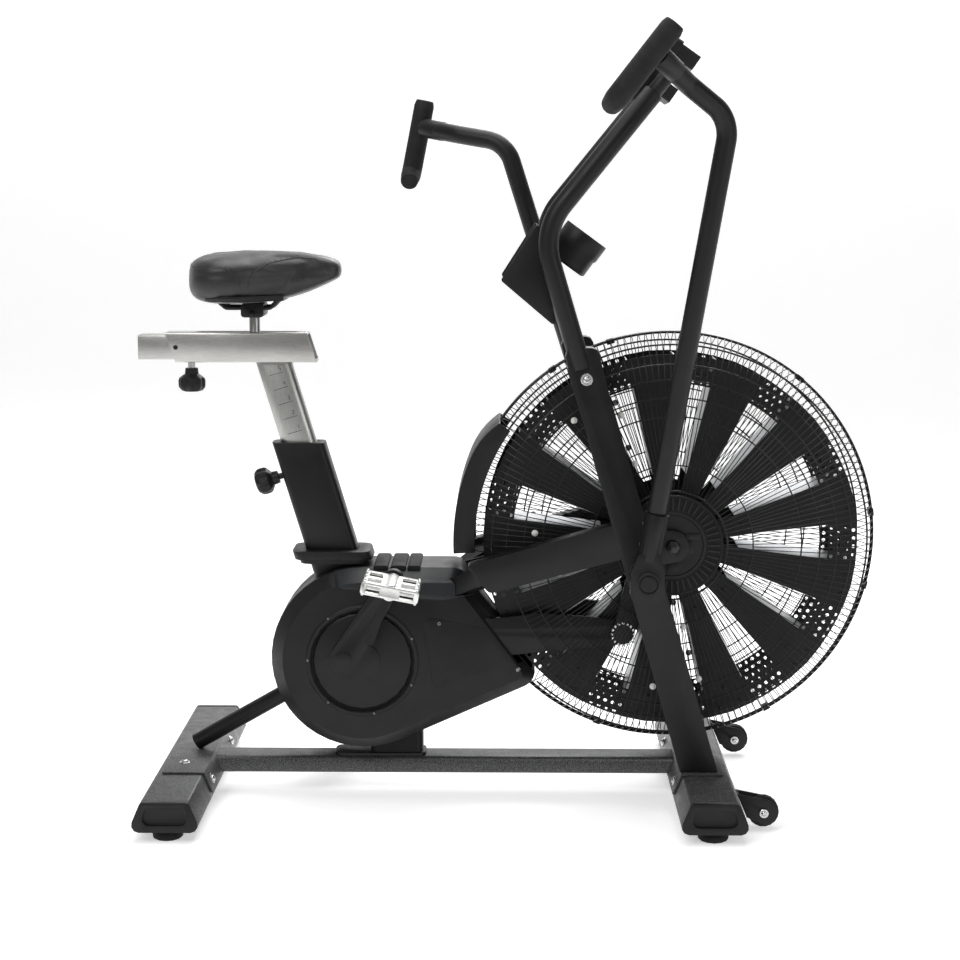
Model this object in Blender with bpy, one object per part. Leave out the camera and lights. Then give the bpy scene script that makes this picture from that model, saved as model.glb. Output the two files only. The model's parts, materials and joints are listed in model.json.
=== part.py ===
"""Air bike: a fan exercise bike whose pedals and two hand levers drive the same fan.

Metres. The origin is on the floor under the middle of the bike, +X points forward (to the
fan), +Z up, and the rider's right side is -Y. Every sub-part is one closed solid.
"""
import math

import bmesh
import bpy
from mathutils import Matrix, Vector

# ---- driving dimensions -------------------------------------------------------------------
GAP = 0.0004                     # clearance between pieces that touch

REAR_FOOT_X = -0.531             # middle of the rear foot beam
FRONT_FOOT_X = 0.3204            # middle of the front foot beam
FOOT_HALF_LENGTH = 0.290
CAP_LENGTH = 0.012
FOOT_BASE_Z = 0.0168
FOOT_TOP_Z = 0.065
FOOT_OUTLINE = [(-0.058, FOOT_BASE_Z), (0.058, FOOT_BASE_Z), (0.0375, FOOT_TOP_Z), (-0.0375, FOOT_TOP_Z)]
PAD_Y = 0.258
PAD_RADIUS = 0.0242
STUD_RADIUS = 0.004
BEAM_LOW_Z, BEAM_HIGH_Z = 0.034, 0.0635
BEAM_HALF_WIDTH = 0.030

CRANK_AXLE = Vector((-0.238, 0.0, 0.238))
CRANK_THROW = 0.030              # eccentric journals that drive the connecting rods
CRANK_PHASE = math.radians(166)  # right journal, measured from +X towards +Z
PEDAL_RADIUS = 0.149
PEDAL_PHASE = math.radians(69.3)
HOUSING_RADIUS = 0.1515
HOUSING_HALF_WIDTH = 0.075
HOUSING_WALL = 0.003
WINDOW_RADIUS = 0.0855

SEAT_LEAN = -0.3015              # sideways run of the seat tube per metre of height
SEAT_TUBE_TOP_Z = 0.5906
SLEEVE_LOW_Z, SLEEVE_HIGH_Z = 0.7225, 0.771
SADDLE_STUB_X = -0.4143

FAN_AXLE = Vector((0.264, 0.0, 0.435))
FAN_BLADES = 13
BLADE_HALF_ANGLE = math.radians(7.4)
FIRST_BLADE = math.radians(13.5)
ROTOR_RADIUS = 0.305
ROTOR_Y = (-0.052, 0.036)
CAGE_RADIUS = 0.337
CAGE_BARS = 18
HUB_RADIUS = 0.0825
BELT_Y = (0.042, 0.054)
CRANK_PULLEY_RADIUS = 0.095
FAN_PULLEY_RADIUS = 0.030

LEVER_PIVOT = Vector((0.219, 0.0, 0.394))
LEVER_SWING = math.radians(27)   # the left lever rests this far behind the right one
ROCKER_PIN = Vector((0.1873, 0.0, 0.2855))
LEVER_Y = 0.185
LEVER_RADIUS = 0.0155
GRIP_RADIUS = 0.0175
ROD_Y = (-0.069, -0.059)
ROCKER_Y = (-0.080, -0.072)

FRAME_Y = (-0.130, -0.098)       # right side frame, box section
MAST_Y = 0.120
MAST_RADIUS = 0.016
MAST_END = Vector((0.2240, 0.1100, 1.1505))

WHEEL_AXLE = Vector((0.4035, 0.2065, 0.0306))
WHEEL_RADIUS = 0.0247

# colour, roughness, metallic
FINISHES = {
    "black_paint": ((0.018, 0.018, 0.019), 0.45, 0.0),
    "grey_paint": ((0.16, 0.165, 0.17), 0.5, 0.3),
    "black_plastic": ((0.022, 0.022, 0.024), 0.55, 0.0),
    "slate_plastic": ((0.07, 0.078, 0.088), 0.5, 0.0),
    "aluminium": ((0.60, 0.60, 0.58), 0.35, 1.0),
    "chrome": ((0.75, 0.75, 0.75), 0.15, 1.0),
    "steel": ((0.35, 0.35, 0.36), 0.35, 1.0),
    "rubber": ((0.012, 0.012, 0.012), 0.8, 0.0),
    "leather": ((0.03, 0.031, 0.034), 0.5, 0.0),
    "screen": ((0.02, 0.03, 0.035), 0.1, 0.0),
}


# ---- scene and mesh helpers ---------------------------------------------------------------
def clear_scene():
    for old in list(bpy.data.objects):
        bpy.data.objects.remove(old, do_unlink=True)


def object_from(bm, name="tool"):
    bmesh.ops.remove_doubles(bm, verts=bm.verts, dist=1e-6)
    bmesh.ops.recalc_face_normals(bm, faces=bm.faces)
    mesh = bpy.data.meshes.new(name)
    bm.to_mesh(mesh)
    bm.free()
    thing = bpy.data.objects.new(name, mesh)
    bpy.context.scene.collection.objects.link(thing)
    return thing


def dress(thing, name, finish):
    """Name a finished solid and give it its own Principled material."""
    thing.name = thing.data.name = name
    colour, roughness, metallic = FINISHES[finish]
    material = bpy.data.materials.new(name + "_" + finish)
    material.use_nodes = True
    shader = material.node_tree.nodes["Principled BSDF"]
    shader.inputs["Base Color"].default_value = (*colour, 1)
    shader.inputs["Roughness"].default_value = roughness
    shader.inputs["Metallic"].default_value = metallic
    thing.data.materials.clear()
    thing.data.materials.append(material)
    thing.data.shade_smooth()
    thing.data.set_sharp_from_angle(angle=math.radians(35))
    return thing


def apply_modifiers(thing):
    graph = bpy.context.evaluated_depsgraph_get()
    graph.update()
    mesh = bpy.data.meshes.new_from_object(thing.evaluated_get(graph))
    thing.modifiers.clear()
    thing.data = mesh


def combine(target, tools, operation):
    """Boolean the tools into the target, apply the result and remove the tools."""
    for tool in tools:
        step = target.modifiers.new("boolean", "BOOLEAN")
        step.object = tool
        step.operation = operation
        step.solver = "EXACT"
        tool.hide_render = True
        tool.display_type = "WIRE"
        apply_modifiers(target)
        bpy.data.objects.remove(tool, do_unlink=True)
    return target


def cut(target, *tools):
    return combine(target, tools, "DIFFERENCE")


def weld(target, *tools):
    return combine(target, tools, "UNION")


def overlap(target, tool):
    return combine(target, [tool], "INTERSECT")


def duplicate(source):
    copy = source.copy()
    copy.data = source.data.copy()
    bpy.context.scene.collection.objects.link(copy)
    return copy


def turn_about(thing, pivot, angle):
    """Turn a piece about a line along Y through the pivot; positive tips its top forward."""
    turn = Matrix.Rotation(angle, 4, "Y")
    thing.data.transform(Matrix.Translation(pivot) @ turn @ Matrix.Translation(-pivot))
    return thing


# ---- outlines -----------------------------------------------------------------------------
def arc(centre, radius, start, end, steps):
    return [(centre[0] + radius * math.cos(start + (end - start) * i / steps),
             centre[1] + radius * math.sin(start + (end - start) * i / steps)) for i in range(steps + 1)]


def circle(centre, radius, steps=24):
    return arc(centre, radius, 0, math.tau, steps)[:-1]


def rounded(outline, radius, steps=3):
    """Round every corner of a polygon. radius is one value, or one for each corner."""
    radii = radius if isinstance(radius, (list, tuple)) else [radius] * len(outline)
    result = []
    for i, corner in enumerate(outline):
        here = Vector(corner)
        to_last = (Vector(outline[i - 1]) - here).normalized()
        to_next = (Vector(outline[(i + 1) % len(outline)]) - here).normalized()
        if radii[i] <= 0:
            result.append(tuple(here))
            continue
        half = to_last.angle(to_next) / 2
        centre = here + (to_last + to_next).normalized() * (radii[i] / math.sin(half))
        first = here + to_last * (radii[i] / math.tan(half)) - centre
        last = here + to_next * (radii[i] / math.tan(half)) - centre
        for k in range(steps + 1):
            result.append(tuple(centre + first.slerp(last, k / steps) * radii[i]))
    return result


def inset(outline, distance):
    """Move every edge of a counter-clockwise convex outline inwards."""
    count = len(outline)
    result = []
    for i in range(count):
        before, here, after = (Vector(outline[(i + k) % count]) for k in (-1, 0, 1))
        first = (here - before).normalized()
        second = (after - here).normalized()
        normal = (Vector((-first.y, first.x)) + Vector((-second.y, second.x))).normalized()
        stretch = 1 / max(0.3, normal.dot(Vector((-first.y, first.x))))
        result.append(tuple(here + normal * distance * stretch))
    return result


def capsule(first, first_radius, second, second_radius, steps=7):
    """A counter-clockwise outline round two circles."""
    run = Vector(second) - Vector(first)
    heading = math.atan2(run.y, run.x)
    spread = math.acos((first_radius - second_radius) / run.length)
    return (arc(second, second_radius, heading - spread, heading + spread, steps)
            + arc(first, first_radius, heading + spread, heading + math.tau - spread, steps))


# ---- solids -------------------------------------------------------------------------------
def loft(rings):
    """Close a solid over rings of the same number of points."""
    bm = bmesh.new()
    rows = [[bm.verts.new(point) for point in ring] for ring in rings]
    for lower, upper in zip(rows, rows[1:]):
        for i in range(len(lower)):
            j = (i + 1) % len(lower)
            bm.faces.new((lower[i], lower[j], upper[j], upper[i]))
    bm.faces.new(rows[0][::-1])
    bm.faces.new(rows[-1])
    return object_from(bm)


def prism(outline, start, end, axis="Y"):
    """Extrude an outline: (x, z) along Y, (y, z) along X, or (x, y) along Z."""
    place = {"Y": lambda p, t: (p[0], t, p[1]), "X": lambda p, t: (t, p[0], p[1]),
             "Z": lambda p, t: (p[0], p[1], t)}[axis]
    return loft([[place(p, t) for p in outline] for t in (start, end)])


def box(low, high):
    return prism([(low[0], low[2]), (high[0], low[2]), (high[0], high[2]), (low[0], high[2])], low[1],
                 high[1])


def turned(profile, origin, axis, steps=24):
    """Turn (radius, distance along the axis) points; they start and end on the axis, or form a ring."""
    frame = Vector((0, 0, 1)).rotation_difference(Vector(axis)).to_matrix()
    bm = bmesh.new()
    rows = []
    for radius, along in profile:
        if radius < 1e-9:
            rows.append([bm.verts.new(Vector(origin) + frame @ Vector((0, 0, along)))])
        else:
            rows.append([bm.verts.new(Vector(origin) + frame @ Vector((radius * math.cos(a),
                                                                       radius * math.sin(a), along)))
                         for a in (math.tau * i / steps for i in range(steps))])
    closed = len(rows[0]) > 1
    pairs = list(zip(rows, rows[1:])) + ([(rows[-1], rows[0])] if closed else [])
    for lower, upper in pairs:
        for i in range(steps):
            j = (i + 1) % steps
            corners = [lower[i % len(lower)], lower[j % len(lower)], upper[j % len(upper)],
                       upper[i % len(upper)]]
            face = [v for k, v in enumerate(corners) if v not in corners[:k]]
            if len(face) > 2:
                bm.faces.new(face)
    return object_from(bm)


def rod(start, end, radius, steps=16):
    start, end = Vector(start), Vector(end)
    length = (end - start).length
    return turned([(0, 0), (radius, 0), (radius, length), (0, length)], start, (end - start) / length,
                  steps)


def smooth_path(corners, radii, steps=5):
    """A 3-D polyline whose inner corners are rounded."""
    points = [Vector(corners[0])]
    for i in range(1, len(corners) - 1):
        here = Vector(corners[i])
        back = (Vector(corners[i - 1]) - here).normalized()
        ahead = (Vector(corners[i + 1]) - here).normalized()
        half = back.angle(ahead) / 2
        centre = here + (back + ahead).normalized() * (radii[i - 1] / math.sin(half))
        first = here + back * (radii[i - 1] / math.tan(half)) - centre
        last = here + ahead * (radii[i - 1] / math.tan(half)) - centre
        points += [centre + first.slerp(last, k / steps) * radii[i - 1] for k in range(steps + 1)]
    points.append(Vector(corners[-1]))
    return points


def sweep(points, section):
    """Carry a closed 2-D section along a path without twist."""
    points = [Vector(p) for p in points]
    rings = []
    side = None
    for i, point in enumerate(points):
        ahead = (points[min(i + 1, len(points) - 1)] - points[max(i - 1, 0)]).normalized()
        if side is None:
            side = ahead.cross(Vector((0, 1, 0))).normalized()
        side = (side - ahead * side.dot(ahead)).normalized()
        up = ahead.cross(side)
        rings.append([point + side * u + up * v for u, v in section])
    return loft(rings)


def tube(points, radius, steps=14):
    return sweep(points, circle((0, 0), radius, steps))


# ---- base ---------------------------------------------------------------------------------
def foot_outline(foot_x):
    return rounded([(x + foot_x, z) for x, z in FOOT_OUTLINE], [0.012, 0.012, 0.006, 0.006])


def foot(prefix, foot_x):
    """A foot beam with its two end caps and its two levelling feet."""
    beam_end = FOOT_HALF_LENGTH - CAP_LENGTH
    beam = prism(foot_outline(foot_x), -beam_end, beam_end)
    for side, name in ((-1, "right"), (1, "left")):
        beam = cut(beam, rod((foot_x, side * PAD_Y, 0.005), (foot_x, side * PAD_Y, 0.036),
                             STUD_RADIUS + GAP, 8))
        cap = prism(foot_outline(foot_x), side * (beam_end + GAP), side * FOOT_HALF_LENGTH)
        pocket = rounded([(foot_x - 0.038, 0.028), (foot_x + 0.038, 0.028),
                          (foot_x + 0.029, 0.057), (foot_x - 0.029, 0.057)], 0.010)
        cap = cut(cap, prism(pocket, side * (FOOT_HALF_LENGTH - 0.007), side * (FOOT_HALF_LENGTH + 0.01)))
        dress(cap, f"{prefix}_{name}_end_cap", "black_plastic")
        profile = [(0, 0), (0.021, 0), (PAD_RADIUS, 0.003), (PAD_RADIUS, 0.010), (0.020, FOOT_BASE_Z - GAP),
                   (STUD_RADIUS, FOOT_BASE_Z - GAP), (STUD_RADIUS, 0.034), (0, 0.034)]
        level = turned(profile, (foot_x, side * PAD_Y, 0), (0, 0, 1), 12)
        dress(level, f"{prefix}_{name}_levelling_foot", "rubber")
    dress(beam, f"{prefix}_foot_beam", "grey_paint")


def saddle_bracket(foot_x, facing):
    """A bent plate over the foot beam and down its inner slope; facing is +1 or -1 along X."""
    plate = [(-0.028, 0.0655), (0.0383, 0.0655), (0.0516, 0.0342), (0.0544, 0.0354), (0.0405, 0.0686),
             (-0.028, 0.0686)]
    return prism([(foot_x + facing * x, z) for x, z in plate], -0.140, 0.140)


def main_beam():
    """The flat oval beam, welded to a bent plate at each foot."""
    low, high = BEAM_LOW_Z, BEAM_HIGH_Z
    section = rounded([(-BEAM_HALF_WIDTH, low), (BEAM_HALF_WIDTH, low), (BEAM_HALF_WIDTH, high),
                       (-BEAM_HALF_WIDTH, high)], 0.009)
    start, end = REAR_FOOT_X + 0.0535, FRONT_FOOT_X - 0.0535
    slope = 0.42                 # the ends follow the sloped plates
    beam = loft([[(start - (z - low) * slope, y, z) for y, z in section],
                 [(end + (z - low) * slope, y, z) for y, z in section]])
    beam = weld(beam, saddle_bracket(REAR_FOOT_X, 1), saddle_bracket(FRONT_FOOT_X, -1))
    dress(beam, "main_beam", "grey_paint")


def transport_wheel():
    for side, name in ((-1, "right"), (1, "left")):
        axle = Vector((WHEEL_AXLE.x, side * WHEEL_AXLE.y, WHEEL_AXLE.z))
        half = 0.010
        profile = [(0.0046, -half), (0.021, -half), (WHEEL_RADIUS, -half + 0.003),
                   (WHEEL_RADIUS, half - 0.003),
                   (0.021, half), (0.0046, half)]
        dress(turned(profile, axle, (0, 1, 0), 18), f"{name}_transport_wheel", "rubber")
        foot_edge = [(FRONT_FOOT_X + 0.0402, 0.0612), (FRONT_FOOT_X + 0.0562, 0.0232)]
        cheek = [foot_edge[1]] + arc((axle.x, axle.z), 0.0215, math.radians(-80), math.radians(75),
                                     8) + [foot_edge[0]]
        fork = prism(cheek, axle.y - 0.0135, axle.y - 0.0108)
        back = [foot_edge[1], (foot_edge[1][0] + 0.003, 0.0245), (foot_edge[0][0] + 0.003, 0.0605),
                foot_edge[0]]
        fork = weld(fork, prism(cheek, axle.y + 0.0108, axle.y + 0.0135),
                    prism(back, axle.y - 0.0125, axle.y + 0.0125),
                    rod(axle - Vector((0, 0.0165, 0)), axle + Vector((0, 0.0165, 0)), 0.0042, 12))
        dress(fork, f"{name}_wheel_fork", "black_plastic")


# ---- seat frame and housing ---------------------------------------------------------------
def seat_x(z):
    """The seat tube's axis passes through the crank axle."""
    return CRANK_AXLE.x + SEAT_LEAN * (z - CRANK_AXLE.z)


def leaning_block(half_x, half_y, corner, low_z, high_z):
    outline = rounded([(-half_x, -half_y), (half_x, -half_y), (half_x, half_y), (-half_x, half_y)], corner,
                      3)
    return loft([[(seat_x(z) + x, y, z) for x, y in outline] for z in (low_z, high_z)])


def seat_frame():
    """Seat tube, bottom bracket shell, rear stay and support column, welded into one frame."""
    frame = leaning_block(0.043, 0.025, 0.012, 0.330, SEAT_TUBE_TOP_Z)
    web = leaning_block(0.026, 0.018, 0.006, 0.245, 0.335)
    shell = rod(CRANK_AXLE + Vector((0, -0.034, 0)), CRANK_AXLE + Vector((0, 0.034, 0)), 0.026, 20)
    stay = tube([(-0.5245, 0, 0.0790), (-0.250, 0, 0.2360)], 0.014)
    foot_block = rounded([(-0.289, -0.026), (-0.137, -0.026), (-0.137, 0.026), (-0.289, 0.026)], 0.012)
    column = prism(foot_block, BEAM_HIGH_Z + GAP, 0.0685, "Z")
    post = prism(rounded([(-0.230, -0.022), (-0.1415, -0.022), (-0.1415, 0.022), (-0.230, 0.022)], 0.012),
                 0.066, 0.225, "Z")
    frame = weld(frame, web, shell, stay, column, post)
    floor_of_stay = box((-0.60, -0.05, 0.0), (-0.49, 0.05, 0.0690))
    bore = leaning_block(0.0303, 0.0154, 0.0148, 0.340, SEAT_TUBE_TOP_Z + 0.01)
    axle_bore = rod(CRANK_AXLE + Vector((0, -0.05, 0)), CRANK_AXLE + Vector((0, 0.05, 0)), 0.0106, 16)
    pin_bore = rod(post_knob_point(0.0), post_knob_point(0.060), 0.0054, 12)
    dress(cut(frame, floor_of_stay, bore, axle_bore, pin_bore), "seat_frame", "black_paint")


def collar():
    ring = leaning_block(0.064, 0.046, 0.018, 0.3995, 0.4135)
    skirt = leaning_block(0.057, 0.041, 0.016, 0.3925, 0.402)
    ring = weld(ring, skirt)
    dress(cut(ring, leaning_block(0.0434, 0.0254, 0.012, 0.38, 0.43)), "seat_tube_collar", "black_plastic")


def corner_arc(first, second, radius, steps):
    """An arc tangent to two lines, each an outward normal angle and a distance from the origin."""
    (a, near), (b, far) = first, second
    near, far = near - radius, far - radius
    scale = math.sin(b - a)
    centre = ((near * math.sin(b) - far * math.sin(a)) / scale,
              (far * math.cos(a) - near * math.cos(b)) / scale)
    return arc(centre, radius, a, b, steps)


def housing_outline():
    """Round behind the crank axle, level on top, and sloping along the fan in front."""
    centre = Vector((CRANK_AXLE.x, CRANK_AXLE.z))

    def tangent(angle):
        return angle, centre.dot(Vector((math.cos(angle), math.sin(angle)))) + HOUSING_RADIUS

    top, bottom = math.radians(90), math.radians(-66)
    fan_side = (math.radians(36.6), 0.1704)
    outline = arc(centre, HOUSING_RADIUS, top, bottom + math.tau, 26)
    outline += corner_arc(tangent(bottom), fan_side, 0.028, 5)
    outline += corner_arc(fan_side, tangent(top), 0.027, 4)
    return outline


def housing_body(margin, half_width, low_chamfer=0.050, chamfer=0.018):
    """The casing's outer form, moved inwards by margin."""
    rings = []
    for y, more in ((-half_width, chamfer + 0.003), (-half_width + 0.004, chamfer), (-low_chamfer, 0.0),
                    (low_chamfer, 0.0), (half_width - 0.004, chamfer), (half_width, chamfer + 0.003)):
        rings.append([(x, y, z) for x, z in inset(housing_outline(), margin + more)])
    return loft(rings)


def housing():
    """Right and left casings under a top cover that bridges both."""
    shell = housing_body(0.0, HOUSING_HALF_WIDTH)
    shell = cut(shell, housing_body(HOUSING_WALL, HOUSING_HALF_WIDTH - HOUSING_WALL))
    across = HOUSING_HALF_WIDTH + 0.01
    window = rod(CRANK_AXLE - Vector((0, across, 0)), CRANK_AXLE + Vector((0, across, 0)), WINDOW_RADIUS,
                 28)
    scoop = rod(FAN_AXLE - Vector((0, 0.0700, 0)), FAN_AXLE + Vector((0, 0.0700, 0)), 0.3105, 56)
    tube_hole = leaning_block(0.0445, 0.0265, 0.012, 0.35, 0.45)
    stay_hole = tube([(-0.56, 0, 0.0586), (-0.25, 0, 0.2360)], 0.0155)
    column_hole = box((-0.2315, -0.0235, 0.05), (-0.1400, 0.0235, 0.15))
    rod_path = [(-0.20, 0.2050), (0.06, 0.2385), (0.06, 0.3215), (-0.20, 0.2858)]
    shell = cut(shell, window, scoop, tube_hole, stay_hole, column_hole, horn(-1, 0.0012), horn(1, 0.0012),
                belt_loop(0.0065, 0.004), prism(rod_path, -0.0705, -0.0575), prism(rod_path, 0.0575,
                                                                                   0.0705))
    line = [(-0.40, 0.3835), (-0.286, 0.3835), (-0.2797, 0.3625), (-0.266, 0.3565), (-0.2456, 0.357),
            (-0.1343, 0.3409), (-0.1061, 0.3394), (-0.0438, 0.3541), (0.10, 0.40)]
    above = prism(line + [(0.10, 0.50), (-0.40, 0.50)], -0.2, 0.2)
    dress(largest_piece(overlap(duplicate(shell), above)), "housing_top_cover", "slate_plastic")
    below = [(x, z - GAP) for x, z in reversed(line)] + [(-0.50, 0.38), (-0.50, 0.0), (0.10, 0.0)]
    for side, name in ((-1, "right"), (1, "left")):
        edge = sorted((side * GAP / 2, side * 0.2))
        half = largest_piece(overlap(duplicate(shell), prism(below, *edge)))
        bezel = turned([(WINDOW_RADIUS + 0.001, 0.0735), (0.093, 0.0735), (0.093, 0.0755), (0.0905, 0.0776),
                        (WINDOW_RADIUS + 0.001, 0.0776)], CRANK_AXLE, (0, side, 0), 28)
        dress(weld(half, bezel), f"{name}_housing", "black_plastic")
    bpy.data.objects.remove(shell, do_unlink=True)


# ---- crank, rods and pedals ---------------------------------------------------------------
def crank_point(radius, phase, y=0.0):
    return CRANK_AXLE + Vector((radius * math.cos(phase), y, radius * math.sin(phase)))


def crank():
    axle = rod(crank_point(0, 0, -0.0560), crank_point(0, 0, 0.0560), 0.010, 20)
    for side, phase in ((-1, CRANK_PHASE), (1, CRANK_PHASE + math.pi)):
        web = rod(crank_point(0, 0, side * 0.0548), crank_point(0, 0, side * 0.0578), 0.046, 20)
        journal = rod(crank_point(CRANK_THROW, phase, side * 0.0565),
                      crank_point(CRANK_THROW, phase, side * 0.0715),
                      0.014, 20)
        axle = weld(axle, web, journal)
    dress(axle, "crank_axle", "steel")
    pulley = turned([(0.0104, BELT_Y[0]), (CRANK_PULLEY_RADIUS - 0.008, BELT_Y[0]),
                     (CRANK_PULLEY_RADIUS - 0.0022, BELT_Y[0] + 0.001),
                     (CRANK_PULLEY_RADIUS - 0.0022, BELT_Y[1] - 0.001), (CRANK_PULLEY_RADIUS - 0.008,
                                                                         BELT_Y[1]), (0.0104, BELT_Y[1])],
                    CRANK_AXLE, (0, 1, 0), 32)
    dress(pulley, "crank_pulley", "steel")
    for side, name, turn in ((-1, "right", 0.0), (1, "left", math.pi)):
        journal = crank_point(CRANK_THROW, CRANK_PHASE + turn)
        spindle = crank_point(PEDAL_RADIUS, PEDAL_PHASE + turn)
        blade = capsule((journal.x, journal.z), 0.0235, (spindle.x, spindle.z), 0.0165)
        arm = prism(blade, side * 0.0785, side * 0.0945)
        disc = turned([(0, 0.0722), (0.0800, 0.0722), (0.0800, 0.0745), (0.0765, 0.0762), (0.030, 0.0762),
                       (0.030, 0.0790), (0, 0.0790)], CRANK_AXLE, (0, side, 0), 24)
        boss = rod(journal + Vector((0, side * 0.0750, 0)), journal + Vector((0, side * 0.0975, 0)), 0.0125,
                   20)
        pin = rod(spindle + Vector((0, side * 0.0900, 0)), spindle + Vector((0, side * 0.1960, 0)), 0.0065,
                  14)
        dress(weld(arm, disc, boss, pin), f"{name}_crank_arm", "black_paint")
        pedal(name, side, spindle)


def pedal(name, side, spindle):
    """A platform round its spindle, with two windows on each side of the centre tube."""
    low, high = 0.102, 0.199
    half = 0.046
    outline = rounded([(-half, -0.010), (half, -0.010), (half, 0.010), (-half, 0.010)], 0.004, 2)
    body = prism(outline, low, high)
    windows = [box((x0, y0, -0.03), (x0 + 0.022, y0 + 0.030, 0.03))
               for x0 in (-0.038, 0.016) for y0 in (0.113, 0.155)]
    windows += [box((x0, y0, -0.0062), (x0 + 0.022, y0 + 0.030, 0.0062))
                for x0 in (-0.038, 0.016) for y0 in (0.090, 0.180)]
    body = cut(body, *windows)
    body = weld(body, rod((0, low + 0.001, 0), (0, high - 0.001, 0), 0.013, 18))
    body = cut(body, rod((0, 0, 0), (0, 0.1975, 0), 0.0070, 16))
    tilt = Matrix.Rotation(math.radians(11), 4, "Y")
    flip = Matrix.Diagonal((1, side, 1, 1))
    body.data.transform(Matrix.Translation(spindle) @ tilt @ flip)
    if side < 0:
        body.data.flip_normals()
    dress(body, f"{name}_pedal", "aluminium")


def connecting_rod():
    """From inside the casing to the rocker's pin; its big end is left open at the journal."""
    pin = (ROCKER_PIN.x, ROCKER_PIN.z)
    outline = [(-0.183, 0.222), (0.052, 0.2530)] + arc(pin, 0.0200, math.radians(-85), math.radians(83),
                                                       10) + \
              [(0.050, 0.3180), (-0.183, 0.2860)]
    right = prism(outline, *ROD_Y)
    right = cut(right, rod((pin[0], -0.1, pin[1]), (pin[0], 0, pin[1]), 0.0084, 16))
    left = duplicate(right)
    dress(right, "right_connecting_rod", "black_paint")
    left.data.transform(Matrix.Diagonal((1, -1, 1, 1)))
    left.data.flip_normals()
    arm = ROCKER_PIN - LEVER_PIVOT
    left.data.transform(Matrix.Translation(Matrix.Rotation(-LEVER_SWING, 3, "Y") @ arm - arm))
    dress(left, "left_connecting_rod", "black_paint")


def belt_loop(extra, margin):
    """The area inside the belt, grown by extra in its plane and by margin across it."""
    run = FAN_AXLE - CRANK_AXLE
    heading = math.atan2(run.z, run.x)
    spread = math.acos((CRANK_PULLEY_RADIUS - FAN_PULLEY_RADIUS) / run.length)
    outline = arc((FAN_AXLE.x, FAN_AXLE.z), FAN_PULLEY_RADIUS + extra, heading - spread, heading + spread,
                  10)
    outline += arc((CRANK_AXLE.x, CRANK_AXLE.z), CRANK_PULLEY_RADIUS + extra, heading + spread,
                   heading + math.tau - spread, 30)
    return prism(outline, BELT_Y[0] + 0.0015 - margin, BELT_Y[1] - 0.0015 + margin)


def belt():
    """The flat loop round both pulleys."""
    dress(cut(belt_loop(0.0028, 0.0), belt_loop(0.0, 0.01)), "drive_belt", "rubber")


# ---- fan ----------------------------------------------------------------------------------
def fan_point(radius, angle):
    return (FAN_AXLE.x + radius * math.cos(angle), FAN_AXLE.z + radius * math.sin(angle))


def fan_wheel():
    star, hollows = [], []
    for i in range(FAN_BLADES):
        middle = FIRST_BLADE + math.tau * i / FAN_BLADES
        star += [fan_point(0.062, middle - math.pi / FAN_BLADES)]
        star += [fan_point(0.104, middle - BLADE_HALF_ANGLE * 1.15),
                 fan_point(ROTOR_RADIUS, middle - BLADE_HALF_ANGLE),
                 fan_point(ROTOR_RADIUS + 0.0004, middle), fan_point(ROTOR_RADIUS,
                                                                     middle + BLADE_HALF_ANGLE),
                 fan_point(0.104, middle + BLADE_HALF_ANGLE * 1.15)]
        wall = 0.0015
        hollows.append([fan_point(0.112, middle - BLADE_HALF_ANGLE + wall / 0.112),
                        fan_point(0.330, middle - BLADE_HALF_ANGLE + wall / 0.330),
                        fan_point(0.330, middle + BLADE_HALF_ANGLE - wall / 0.330),
                        fan_point(0.112, middle + BLADE_HALF_ANGLE - wall / 0.112)])
    wheel = prism(star, *ROTOR_Y)
    wheel = cut(wheel, *[prism(h, ROTOR_Y[0] + 0.0015, ROTOR_Y[1] - 0.0015) for h in hollows])
    for y in (ROTOR_Y[0] + 0.0004, ROTOR_Y[1] - 0.0024):
        wheel = weld(wheel, turned([(0.257, y), (0.3035, y), (0.3035, y + 0.002), (0.257, y + 0.002)],
                                   FAN_AXLE, (0, 1, 0), 26))
    wheel = weld(wheel, rod(FAN_AXLE + Vector((0, ROTOR_Y[0] - 0.006, 0)),
                            FAN_AXLE + Vector((0, ROTOR_Y[1] + 0.005, 0)), 0.028, 16))
    wheel = cut(wheel, rod(FAN_AXLE - Vector((0, 0.1, 0)), FAN_AXLE + Vector((0, 0.1, 0)), 0.0066, 16))
    dress(wheel, "fan_wheel", "black_paint")
    groove = FAN_PULLEY_RADIUS - 0.0004
    pulley = turned([(0.0066, BELT_Y[0]), (0.0325, BELT_Y[0]), (0.0325, BELT_Y[0] + 0.001),
                     (groove, BELT_Y[0] + 0.0012),
                     (groove, BELT_Y[1] - 0.0012), (0.0325, BELT_Y[1] - 0.001), (0.0325, BELT_Y[1]),
                     (0.0066, BELT_Y[1])], FAN_AXLE, (0, 1, 0), 16)
    dress(pulley, "fan_pulley", "steel")
    axle = rod(FAN_AXLE - Vector((0, 0.122, 0)), FAN_AXLE + Vector((0, 0.122, 0)), 0.006, 16)
    for side in (-1, 1):
        axle = weld(axle, rod(FAN_AXLE + Vector((0, side * 0.1072, 0)),
                              FAN_AXLE + Vector((0, side * 0.1150, 0)), 0.0105, 6))
    dress(axle, "fan_axle", "chrome")


def cage_profile():
    """(radius, distance from the middle plane) where the bars pass the rings."""
    return [(0.0845, 0.0950), (0.0885, 0.0950), (0.2370, 0.0895), (0.2400, 0.0893), (0.2880, 0.0780),
            (0.2910, 0.0770), (0.3200, 0.0500), (0.3340, 0.0150), (CAGE_RADIUS, 0.0030)]


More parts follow.
